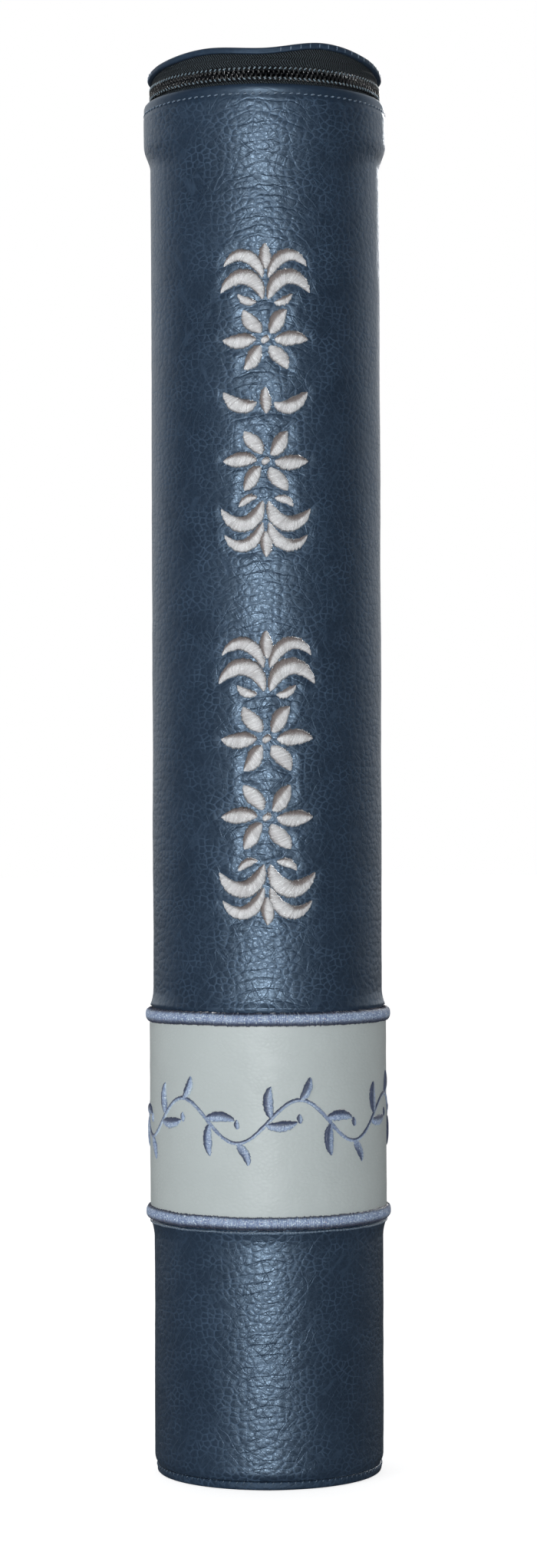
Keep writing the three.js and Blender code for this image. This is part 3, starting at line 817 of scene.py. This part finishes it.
def seamGroove(arcs, around):
    # 1 along the seam at the back, fading to 0 beside it
    return np.exp(-(np.minimum(arcs, around - arcs) / sleeve.seamHalf) ** 2)


def sleevePattern(angles, ways):
    # Arcs from the front at the leather's radius, closed in both directions
    wound = np.append(angles, angles[0] + fullTurn) - halfTurn
    return flatPattern(wound * case.bodyRadius, np.append(ways, ways[0]))


def strokeDistance(arcs, heights):
    # Distance from each point of the front to the nearest stroke's edge
    spots = np.concatenate([np.column_stack([path[::3], widest * 0.9 * np.sin(
        np.linspace(0, halfTurn, len(path)))[::3]]) for path, widest in frontPaths])
    result = np.full(arcs.shape, 99.0)
    near = ((np.abs(arcs) < sleeve.puckerHalf) & (heights > sleeve.puckerBottom)
            & (heights < sleeve.puckerTop))
    a, h = arcs[near], heights[near]
    gaps = [np.min(np.hypot(a[k:k + 2000, None] - spots[:, 0], h[k:k + 2000, None]
                            - spots[:, 1]) - spots[:, 2], 1) for k in range(0, len(a), 2000)]
    result[near] = np.concatenate(gaps)
    return result


def leatherRelief(angles, up, seed):
    # Slow sways, soft dimples and pebbles of the skin, and the seam's groove at the back
    arcs = (angles[None] % fullTurn) * case.bodyRadius
    relief = (sleeve.sway * softNoise(arcs, up, 27, seed)
              + sleeve.dimple * softNoise(arcs, up, 6, seed + 1)
              + 0.03 * (pebbles(arcs, up, 3.4, seed + 2) - 0.3))
    return relief - sleeve.seamDepth * seamGroove(arcs, girth)


def sleeveRadius(angles, up):
    # Radius of the plain sleeve: turned in at the bottom, flared at the borders and the hem.
    # The hem's flare starts lower at the front, where the leather is drawn over it.
    front = np.maximum(0, -np.cos(angles)) ** 2
    start = sleeve.hemStart - sleeve.hemDraw * front
    radius = case.bodyRadius - sleeve.turnIn * np.clip(
        1 - (up - sleeve.bottom) / sleeve.turnInHeight, 0, 1) ** 2
    for edge, direction in ((case.bandBottom - sleeve.borderReach, 1),
                            (case.bandTop + sleeve.borderReach, -1)):
        away = direction * (edge - up)
        near = np.clip(1 - away / sleeve.flareHeight, 0, 1)
        radius += sleeve.flare * near ** 2 * (away >= -0.01)
    width = case.hemRadius - case.bodyRadius
    return radius + width * ease((up - start) / (sleeve.hemFull - start))


def sleevePart(name, bottom, top, step, seed, hem=False):
    # Its outer face, over the hem's roll where it has one, and down a plain inner wall
    angles = sleeveAngles(sleeve.columns)
    columns = len(angles)
    ways = np.arange(bottom, top + step / 2, step)
    up = ways[:, None]
    levels = up
    arcs = (angles - halfTurn) * case.bodyRadius
    pull = (0.12 + 0.1 * softNoise(arcs + 110, up, 18, seed + 5, 220)
            + sleeve.tight * (1 - np.exp(-(arcs / sleeve.tightReach) ** 2)))
    radius = sleeveRadius(angles, up) + leatherRelief(angles, up, seed)
    inside = [(sleeve.inner, top - 1), (sleeve.inner, bottom + 0.8),
              (sleeve.inner + 0.05, bottom - 0.4)]
    if hem:
        gap = strokeDistance(*np.broadcast_arrays(arcs[None], up))
        near = np.exp(-np.maximum(gap, 0) ** 2 / (2 * sleeve.puckerReach ** 2))
        rim = np.exp(-(gap - 2.6) ** 2 / 1.6)
        radius += sleeve.pucker * (0.35 * rim - near)
        fromLine = up - hemStitches.line
        radius -= sleeve.stitchDent * np.exp(-(fromLine / 0.7) ** 2)
        pull = pull + 0.75 * ease((fromLine + 2) / 2)
        turn = np.linspace(0, halfTurn, 12)[1:, None]
        start, end = radius[-1], case.hemInner
        roll = (start + end) / 2 + (start - end) / 2 * np.cos(turn)
        roll += sleeve.rollBulge * np.maximum(0, np.sin(2 * turn))
        radius = stacked(columns, radius, roll)
        levels = stacked(columns, up, top + sleeve.rollHeight * np.sin(turn) ** 0.8)
        pull = stacked(columns, pull, np.full(len(turn), 0.85))
        over = wayAlong(radius[-len(turn) - 1:, 0], levels[-len(turn) - 1:, 0])
        ways = np.append(ways, ways[-1] + over[1:])
        inside = [(end, sleeve.hemFoot), (sleeve.inner, sleeve.hemFoot - 2),
                  (sleeve.inner, bottom + 1)]
    innerRadius, innerLevels = np.transpose(inside)
    pull = stacked(columns, pull, np.full(len(inside), 0.9))
    ways = np.append(ways, ways[-1] + 20 * np.arange(1, len(inside) + 1))
    caseSkin(name, angles, stacked(columns, radius, innerRadius),
             stacked(columns, levels, innerLevels), sleevePattern(angles, ways),
             (sleeveLeather, "case", "navy_leather", ["leather_sleeve"]), np.clip(pull, 0, 1),
             wrapRows=True)


sleevePart("leather_sleeve_top", case.bandTop + 1.2, case.hemTop - sleeve.rollHeight,
           0.8, 11, hem=True)
sleevePart("leather_sleeve_bottom", sleeve.bottom, case.bandBottom - 1.2, 0.6, 31)
print("sleeve made")


def ringOfStitches(name, count, radius, height, size, tilt, sideways, material,
                   span=(0, fullTurn), body="case"):
    # Short threads set round the case: tilt turns each in its own place, in radians
    angles = span[0] + (np.arange(count) + 0.5) / count * (span[1] - span[0])
    heights = height(angles) if callable(height) else np.full(count, height)
    outs = onCase(angles, 1.0, 0.0)
    level = onCase(angles + halfTurn / 2, 1.0, 0.0)
    up = np.array([0, 0, 1.0])
    sides = level * math.cos(tilt) + up * math.sin(tilt)
    ups = -level * math.sin(tilt) + up * math.cos(tilt)
    shape, faces = capsule(*size)
    jitter = np.random.default_rng(count).uniform(-1, 1, (2, count))
    origins = onCase(angles + sideways * jitter[0], radius, heights + 0.06 * jitter[1])
    finished(repeatedObject(name, shape, faces, origins, sides, ups, outs), material, body,
             "blue_thread")


ringOfStitches("hem_stitches", hemStitches.count, case.hemRadius - 0.08,
               hemStitches.line, (1.25, 0.5, 0.5), 0.22, 0.001, stitchThread)
print("hem stitched")


# Contrast band with its satin-stitch borders

band = Values(columns=300, rowStep=0.75, sway=0.1, grain=0.05, seamDepth=0.3, inner=35.4)


def contrastBand():
    # The band's outer face with a soft sway, closed by a plain inner wall
    angles = sleeveAngles(band.columns)
    bottom, top = case.bandBottom + 0.4, case.bandTop - 0.4
    heights = np.arange(bottom, top + 0.1, band.rowStep)
    up = heights[:, None]
    around = fullTurn * case.bandRadius
    arcs = (angles[None] % fullTurn) * case.bandRadius
    relief = (band.sway * softNoise(arcs, up, 24, 51, around)
              + band.grain * softNoise(arcs, up, 4, 52, around)
              - band.seamDepth * seamGroove(arcs, around))
    radius = stacked(len(angles), case.bandRadius + relief - 0.05, [band.inner] * 2)
    ways = np.append(heights, heights[-1] + [1, 60])
    caseSkin("contrast_band_leather", angles, radius, np.append(heights, [top, bottom])[:, None],
             sleevePattern(angles, ways), (paleLeather, "case", "pale_leather", ["contrast_band"]),
             0.1, wrapRows=True)


contrastBand()

border = Values(
    threads=386, samples=4, half=1.85, face=36.95, crown=0.5, foot=36.1, inner=35.5, uneven=0.3,
    spike=0.35, rows=15, lineRadius=36.0, line=0.26,
)


def satinBorder(name, middle, direction, node, seed):
    # Upright threads side by side round the case: a low dome up its section, ridged by the
    # threads, whose ends reach unevenly over the leather. direction is 1 for the lower one.
    columns = border.threads * border.samples
    angles = evenAngles(columns)
    number = np.arange(columns) // border.samples
    ridge = np.abs(np.sin((np.arange(columns) % border.samples + 0.5)
                          / border.samples * halfTurn))
    random = np.random.default_rng(seed)
    reach = random.uniform(0, 1, (2, border.threads))[:, number] * border.uneven
    lean = softNoise(angles * case.bodyRadius, np.zeros(columns), 9, seed + 1) * 0.15
    share = np.linspace(-1, 1, border.rows)[:, None]
    ends = border.half + np.where(share < 0, reach[0], reach[1])
    ends = ends + border.spike * (ridge - 0.7) * np.abs(share) ** 3
    dome = np.sqrt(np.maximum(0, 1 - np.abs(share) ** 2.6))
    rise = border.face + border.crown - border.foot
    radius = border.foot + rise * dome * (0.9 + 0.1 * ridge) - 0.12 * (1 - ridge)
    radius = radius - 0.75 * ease(-share * direction) * (1 - dome)
    levels = stacked(columns, middle + share * ends + lean, [middle + 2, middle - 2])
    wound = np.arange(columns + 1) / columns * border.threads * borderLook.pitch
    ways = np.append(share[:, 0] * border.half, [3.2, -3.2])
    caseSkin(name, angles, stacked(columns, radius, [border.inner] * 2), levels,
             flatPattern(wound, np.append(ways, ways[0])),
             (borderThread, "case", "blue_thread", [node]), wrapRows=True)


def edgeLine(name, height):
    # The single thread along the leather's edge below the lower border
    columns, around = 900, 6
    arcs = evenAngles(columns) * case.bodyRadius
    turn = evenAngles(around)[:, None]
    wander = 0.12 * softNoise(arcs, np.zeros(columns), 3, 67)
    twisted = border.line * (1 + 0.3 * np.sin(arcs * fullTurn / 1.2))
    pattern = flatPattern(np.arange(columns + 1) / columns * girth,
                          np.arange(around + 1) * 0.2)
    caseSkin(name, evenAngles(columns), border.lineRadius + wander + twisted * np.cos(turn),
             height + wander + twisted * np.sin(turn), pattern,
             (stitchThread, "case", "blue_thread"), wrapRows=True)


edgeLine("band_edge_line", case.bandBottom - 2.75)
satinBorder("band_border_lower_thread", case.bandBottom, 1, "band_border_lower", 61)
satinBorder("band_border_upper_thread", case.bandTop, -1, "band_border_upper", 71)
print("band and borders made")


# Base: the leather underside and the stitches that hold it to the sleeve

base = Values(
    columns=180, outer=34.4, inner=32.9, bend=1.2, rim=2.6, rimHalf=0.5, thickness=1.3,
    dent=0.12, noiseRadius=34, stitches=98, stitchLine=2.3,
)


def baseCover():
    # From the middle of the underside out, round the edge and up to the rim, then back in
    outer, bend, rim, half = base.outer, base.bend, base.rim, base.rimHalf
    turn = np.linspace(-halfTurn / 2, 0, 8)[1:]
    flat = np.linspace(0, outer - bend, 46)
    up = np.linspace(bend, rim - half, 5)[1:]
    curl = np.linspace(0, halfTurn / 2, 6)[1:]
    radius = np.concatenate([
        flat, outer - bend + bend * np.cos(turn), np.full(len(up), outer),
        outer - half + half * np.cos(curl), [base.inner, base.inner, 0.0]])
    height = np.concatenate([
        np.zeros(len(flat)), bend + bend * np.sin(turn), up,
        rim - half + half * np.sin(curl), [rim, base.thickness, base.thickness]])
    angles = evenAngles(base.columns)
    number = np.arange(len(radius))
    shown = np.clip(radius / 3, 0, 1) * (number < len(radius) - 3)
    dent = base.dent * softNoise(angles[None] * base.noiseRadius, (number + 1)[:, None] * 0.8,
                                 5, 81, base.noiseRadius * fullTurn)
    levels = height[:, None] + np.abs(dent) * (shown * (height < 0.05))[:, None]
    radius = radius[:, None] + dent * (shown * (height > 0.6))[:, None] - 0.05
    radius = np.maximum(radius, 0)
    radius[0], radius[-1] = 0, 0
    caseSkin("base_cover_leather", angles, radius, levels,
             polarPattern(wayAlong(radius[:, 0], height), angles),
             (lidLeather, "case", "navy_leather", ["base_cover"]), 0.35, merge=True)


baseCover()
ringOfStitches("base_stitches", base.stitches, base.outer - 0.02, base.stitchLine,
               (0.85, 0.34, 0.34), 1.0, 0.002, seamThread)
print("base made")


# Zip: two woven tapes and two rows of nylon coil

zipper = Values(
    start=15.3 / case.zipRadius, end=fullTurn - 15.3 / case.zipRadius, pitch=1.5,
    chainStart=20.8, chainEnd=fullTurn * case.zipRadius - 18.0, tapeBottom=406.4, radius=34.77,
    wire=0.33, flatness=0.72, halfHeight=1.02, halfDepth=0.26, rowMiddle=0.98, sewingLine=1.52,
    sewingRadius=35.09, sewingDent=0.14, dentHalf=0.26,
    firstTurn=0.4, lean=0.16, tapeGap=1.0, tapeHidden=1.2, belly=0.7, bellyStart=3.15,
    bellyRoom=1.7,
)

lip = Values(
    shares=np.array([0, 0.1, -0.1, -0.37, 0.03, 0.43, 0.17, 0.93, 0.37, -0.4, -0.25, -0.1]),
    wave=3.0, stand=0.1, height=1.9, outer=35.6, inner=33.4, slope=1.9, tickPitch=3.1,
)


def lipTop(angle):
    # A smooth curve through the shares, one for each twelfth of a turn
    shares = lip.shares
    count = len(shares)
    place = (angle / fullTurn * count) % count
    station = np.floor(place).astype(int)
    t = place - station
    before, here, after, later = (shares[(station + k) % count] for k in (-1, 0, 1, 2))
    wave = (here * (1 + 2 * t) * (1 - t) ** 2 + (after - before) / 2 * t * (1 - t) ** 2
            + after * t * t * (3 - 2 * t) - (later - here) / 2 * t * t * (1 - t))
    return case.lidTop + lip.stand + lip.wave * wave


def woundStrip(name, angles, outer, inner, levels, ways, pull=None):
    # A strip round part of the case: outer face upwards, inner face downwards, closed ends
    points = onCase(angles[None], np.concatenate([outer, inner[::-1]]),
                    np.concatenate([levels, levels[::-1]]))
    first, last = (np.broadcast_to(points[:, k].mean(0), (len(points), 1, 3))
                   for k in (0, -1))
    points = np.concatenate([first, points, last], 1)
    wound = np.concatenate([angles[:1], angles, angles[-1:]]) - halfTurn
    behind = ways[-1] + 0.5 + np.arange(len(ways)) * 0.01
    pattern = flatPattern(wound * case.bodyRadius, np.concatenate([ways, behind, ways[:1]]))
    values = None if pull is None else {"pull": np.full(points.shape[:2], pull)}
    return gridObject(name, points, pattern, wrapRows=True, wrapColumns=False, values=values)


def tape(name, levels, belly, ripple, ways, body, node):
    angles = np.linspace(zipper.start, zipper.end, levels.shape[1])
    piece = woundStrip(name, angles, case.tapeOuter + belly + ripple,
                       case.tapeInner + belly + ripple, levels, ways)
    finished(piece, zipTape, body, "zip_tape", [node])


def bothTapes():
    # Above the chain the upper tape bellies out a little, then goes up into the lip
    angles = np.linspace(zipper.start, zipper.end, 300)
    arcs = angles[None] * case.bodyRadius
    bottom, top = case.chainMiddle + zipper.tapeGap, lipTop(angles)
    levels = np.linspace(zipper.tapeBottom, case.chainMiddle - zipper.tapeGap, 18)
    levels = levels[:, None] + 0 * arcs
    ripple = 0.06 * softNoise(arcs, levels, 3, 91) * (levels > case.hemTop)
    tape("zip_tape_lower_cloth", levels, 0.0, ripple, levels[:, 0], "case", "zip_tape_lower")
    levels = bottom + (top - zipper.tapeHidden - bottom) * np.linspace(0, 1, 22)[:, None]
    start = case.chainMiddle + zipper.bellyStart
    room = np.clip(top - lip.height - 0.3 - start, 0.05, zipper.bellyRoom)
    belly = (np.sin(halfTurn * np.clip((levels - start) / room, 0, 1)) ** 2 * zipper.belly
             * room / zipper.bellyRoom)
    ripple = 0.08 * softNoise(arcs, levels, 2.5, 95) * ease((levels - bottom - 1.5) / 1.5)
    tape("zip_tape_upper_cloth", levels, belly, ripple, levels.mean(1), "lid",
         "zip_tape_upper")


bothTapes()


def coilRow(name, side, body, node):
    # A flattened spiral: it goes round in height and depth while it moves on along the zip.
    # The upper row is the lower one turned over and half a pitch further on.
    pitch = zipper.pitch
    turns = int((zipper.chainEnd - zipper.chainStart) / pitch) - 1
    steps = 14
    t = np.arange(turns * steps + 1) / steps
    phase = t * fullTurn
    arc = zipper.chainStart + zipper.firstTurn + pitch * (t + (0.5 if side > 0 else 0))
    angle = (arc + pitch * zipper.lean * np.sin(phase)) / case.zipRadius
    tall = zipper.rowMiddle + zipper.halfHeight * np.cos(phase)
    under = np.exp(-((tall - zipper.sewingLine) / zipper.dentHalf) ** 2) * (np.sin(phase) > 0)
    radius = zipper.radius + zipper.halfDepth * np.sin(phase)
    radius -= zipper.sewingDent * under
    line = onCase(angle, radius, case.chainMiddle + side * tall)
    ahead = np.gradient(line, axis=0)
    ahead /= np.linalg.norm(ahead, axis=1)[:, None]
    aside = np.cross(ahead, onCase(angle, 1.0, 0.0))
    aside /= np.linalg.norm(aside, axis=1)[:, None] + 1e-9
    over = np.cross(ahead, aside)
    turn = evenAngles(7)[:, None, None]
    thick = zipper.wire * np.ones(len(t))
    thick[[0, -1]] = 0.001
    points = line[None] + thick[None, :, None] * (
        np.cos(turn) * aside[None] + zipper.flatness * np.sin(turn) * over[None])
    piece = gridObject(name, points, None, wrapRows=True, wrapColumns=False, merge=True)
    finished(piece, coilNylon, body, "zip_teeth", [node])


coilRow("zip_coil_lower", -1, "case", "zip_teeth_lower")
coilRow("zip_coil_upper", 1, "lid", "zip_teeth_upper")
beadCount = int((zipper.chainEnd - zipper.chainStart) / zipper.pitch)
beadSpan = (zipper.chainStart / case.zipRadius,
            (zipper.chainStart + beadCount * zipper.pitch) / case.zipRadius)
for title, side, body in (("lower", -1, "case"), ("upper", 1, "lid")):
    ringOfStitches("zip_sewing_" + title, beadCount, zipper.sewingRadius,
                   case.chainMiddle + side * zipper.sewingLine, (1.0, 0.46, 0.38),
                   side * 0.75, 0.0, sewingThread, span=beadSpan, body=body)
print("zip made")


# Lid: leather cover with its wavy lip, and the lining

lid = Values(columns=240, soft=0.25, sag=0.35, underside=426.25, underRadius=31.4,
             turnIn=(34.6, 33.6), wobble=0.12, crest=0.25, shoulder=0.45)


def lidCover():
    # A soft flat top that rises in a slope to the lip, goes over it and down its outside
    angles = evenAngles(lid.columns)
    columns = len(angles)
    top = lipTop(angles)[None]
    share = np.linspace(0, 1, 40)[:, None]
    flatRadius = share * (lip.inner - lip.slope)
    soft = lid.soft * softNoise(flatRadius * np.sin(angles) + 40,
                                flatRadius * np.cos(angles) + 40, 7, 101, 80)
    flat = case.lidTop + soft - lid.sag * ease(1.4 - share * 1.4)
    step = np.linspace(0, 1, 9)[1:, None]
    start = top - lid.crest
    slopeUp = flat[-1:] + (start - flat[-1:]) * ease(step)
    across = (1 - np.cos(step * halfTurn)) / 2
    crestUp = (start + lid.crest * np.sin(step * halfTurn)
               - lid.shoulder * ease(step * 2 - 1))
    drop = np.linspace(0, 1, 7)[1:, None]
    wobble = lid.wobble * softNoise(angles[None] * case.bodyRadius, drop * 3, 4, 103)
    radius = stacked(
        columns, flatRadius, lip.inner - lip.slope * (1 - step),
        lip.inner + (lip.outer - lip.inner) * across,
        lip.outer + wobble + 0.1 * np.sin(drop * halfTurn),
        [*lid.turnIn, lid.underRadius, 0.0])
    levels = stacked(
        columns, flat, slopeUp, crestUp,
        start - lid.shoulder - (lip.height - lid.crest - lid.shoulder) * drop,
        top - lip.height + [[-0.1], [0.2]], [lid.underside] * 2)
    levels[0] = levels[0].mean()
    reach = wayAlong(radius.mean(1), levels.mean(1))
    pull = np.full(levels.shape, 0.3)
    pull[len(flat):] = 0.7
    caseSkin("lid_cover_leather", angles, radius[::-1], levels[::-1],
             polarPattern(reach[::-1], angles), (lidLeather, "lid", "navy_leather", ["lid_cover"]),
             pull[::-1], merge=True)


lidCover()
tickSpan = (halfTurn * 1.03, fullTurn * 1.3)
tickCount = round((tickSpan[1] - tickSpan[0]) * lip.outer / lip.tickPitch)
ringOfStitches("lip_stitches", tickCount, lip.outer + 0.02,
               lambda angle: lipTop(angle) - 1.15, (1.2, 0.34, 0.4), 1.5, 0.003,
               stitchThread, span=tickSpan, body="lid")


def clothDisc(name, radius, bottom, top, seed, facesDown, body, node):
    # A disc of cloth, closed all round, with a soft edge and faint sways on the face shown
    angles = evenAngles(120)
    share = np.linspace(0, 1, 30)[:, None]
    sway = 0.12 * softNoise(angles[None] * 30, share * 30, 8, seed, fullTurn * 30)
    sway = np.abs(sway) * ease(share * 5) * ease((1 - share) * 6)
    low = bottom + sway * facesDown
    high = top - sway * (not facesDown)
    spread = np.concatenate([share * radius, [[radius + 0.1]], share[::-1] * radius])
    levels = stacked(len(angles), low, [(bottom + top) / 2], high[::-1])
    caseSkin(name, angles, spread, levels, polarPattern(spread, angles),
             (liningCloth, body, "lining", [node]), merge=True)


clothDisc("base_lining_cloth", 30.0, 5.8, 6.6, 111, False, "case", "base_lining")
clothDisc("lid_lining_cloth", 30.8, 423.6, 424.1, 115, True, "lid", "lid_lining")


def bodyLining():
    # The cloth inside the tube: its face looks inwards, with faint sways and a lapped seam
    columns, bottom, top = 160, case.liningBottom, case.liningTop
    heights = np.linspace(top, bottom, 150)
    around = fullTurn * case.liningMiddle
    arcs = evenAngles(columns)[None] * case.liningMiddle
    sway = 0.2 * np.abs(softNoise(arcs, heights[:, None], 16, 121, around))
    lap = 0.35 * np.exp(-((np.minimum(arcs, around - arcs) - 2) / 1.2) ** 2)
    radius = stacked(columns, case.liningInner + sway - lap + 0.1, [case.liningOuter] * 2)
    levels = np.append(heights, [bottom, top])[:, None]
    pattern = flatPattern(np.arange(columns + 1) / columns * around,
                          np.append(heights, [5.0, -405, -406]))
    caseSkin("body_lining_cloth", evenAngles(columns), radius, levels, pattern,
             (liningCloth, "case", "lining", ["body_lining"]), wrapRows=True)


bodyLining()

strap = Values(
    bottom=406.6, top=426.3, shoulderLow=416.6, shoulderHigh=425.4, bend=422.0, inner=33.72,
    outer=34.2, thickness=1.0, fold=0.22, skin=0.1, pull=0.4,
)


def hingeStrap():
    # One strip of leather from the hem to the lid, with a soft fold where it bends
    half = case.hingeHalfWidth / case.zipRadius
    angles = np.linspace(-half, half, 70)
    levels = np.linspace(strap.bottom, strap.top, 70)[:, None] + 0 * angles
    shoulder = (ease((levels - strap.shoulderLow) / 0.9)
                * ease((strap.shoulderHigh - levels) / 0.7))
    fold = np.exp(-((levels - strap.bend) / 0.5) ** 2)
    skin = strap.skin * softNoise(angles[None] * case.bodyRadius, levels, 4, 131)
    outer = (strap.outer + strap.thickness * shoulder - strap.fold * fold
             + skin * shoulder)
    piece = woundStrip("hinge_strap", angles, outer, np.full_like(outer, strap.inner),
                       levels, levels[:, 0], strap.pull)
    finished(piece, lidLeather, None, "navy_leather", ["hinge_strap_case", "hinge_strap_lid"])
    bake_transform(piece)


hingeStrap()
print("lid made")


# Floor, light and camera

studio = Values(
    floorReach=9000.0, floorGrey=0.82, floorGlow=0.68, floorGloss=0.05, front=0.21,
    frontGloss=0.03, behind=0.75, flash=180.0, flashRadius=0.08, softKey=4.3, backFill=0.8,
)
white = (1.0, 1.0, 1.0)


def ray(tree, kind):
    return wire(tree, "LightPath", {}, "Is " + kind + " Ray")


def seenStraight(tree):
    return ray(tree, "Camera").larger(ray(tree, "Transmission"))


def either(factor, first, second):
    return wire(factor.tree, "MixShader", {0: factor, 1: first, 2: second})


def paleFloor():
    # White where it is seen, except where the case keeps light off it, and dim in a gloss
    material, tree = newMaterial("paleFloor")
    tree.nodes.clear()
    matt = wire(tree, "BsdfDiffuse", {"Color": (studio.floorGrey,) * 3})
    glow, dim = (wire(tree, "Emission", {"Color": white, "Strength": studio[title]})
                 for title in ("floorGlow", "floorGloss"))
    both = wire(tree, "AddShader", {0: matt, 1: glow})
    chosen = either(ray(tree, "Glossy"), either(seenStraight(tree), matt, both), dim)
    newNode(tree, "OutputMaterial", {"Surface": chosen})
    return material


def paleWorld():
    # Dim on the viewer's side and bright behind the case, more so in a gloss, and white
    # where it is seen itself
    world = bpy.data.worlds.new("studio")
    bpy.context.scene.world = world
    world.use_nodes = True
    tree = world.node_tree
    tree.nodes.clear()
    _, back, _ = partsOf(wire(tree, "TexCoord", {}, "Generated"))
    ambient, mirror, backdrop = (
        wire(tree, "Background", {"Color": white, "Strength": strength}) for strength in (
            remap(back, -0.2, 0.8, studio.front, studio.behind),
            remap(back, 0.05, 0.9, studio.frontGloss, 1.0), 1.0))
    lit = either(ray(tree, "Glossy"), ambient, mirror)
    newNode(tree, "OutputWorld", {"Surface": either(seenStraight(tree), lit, backdrop)})


def lamp(name, kind, power, place, aim, **settings):
    data = bpy.data.lights.new(name, kind)
    data.energy = power
    for key, value in settings.items():
        setattr(data, key, value)
    light = bpy.data.objects.new(name, data)
    bpy.context.scene.collection.objects.link(light)
    light.location = place
    direction = np.asarray(aim, float) - np.asarray(place, float)
    level = math.hypot(direction[0], direction[1])
    light.rotation_euler = (math.atan2(level, -direction[2]), 0,
                            math.atan2(-direction[0], direction[1]))
    return light


floorMesh = meshObject("floor", np.array([(-1, -1, 0), (1, -1, 0), (1, 1, 0), (-1, 1, 0)])
                       * studio.floorReach, np.array([[0, 1, 2, 3]]))
floorMesh.data.materials.append(paleFloor())
paleWorld()

lamp("flash", "POINT", studio.flash, (-0.22, -3.0, 0.21), (0, 0, 0.2),
     shadow_soft_size=studio.flashRadius, color=(0.97, 0.99, 1.0))
softKey = lamp("softKey", "AREA", studio.softKey, (-0.9, -1.0, 0.5), (0, 0, 0.22),
               shape="RECTANGLE", size=0.7, size_y=0.9)
softKey.visible_glossy = False
backFill = lamp("backFill", "SUN", studio.backFill, (0.25, 1.1, 0.5), (0, 0, 0.22),
                angle=math.radians(8))
backFill.data.use_shadow = False

camera = bpy.data.cameras.new("camera")
camera.sensor_fit = "VERTICAL"
camera.sensor_height = 36.0
camera.lens = 79.96
camera.shift_y = 0.0144
camera.clip_start = 0.05
camera.clip_end = 60.0
viewer = bpy.data.objects.new("camera", camera)
bpy.context.scene.collection.objects.link(viewer)
viewer.location = (0.00042, -1.067, 0.203)
viewer.rotation_euler = (halfTurn / 2, math.radians(0.224), 0)
bpy.context.scene.camera = viewer
bpy.context.scene.view_settings.view_transform = "Standard"
print("studio set")
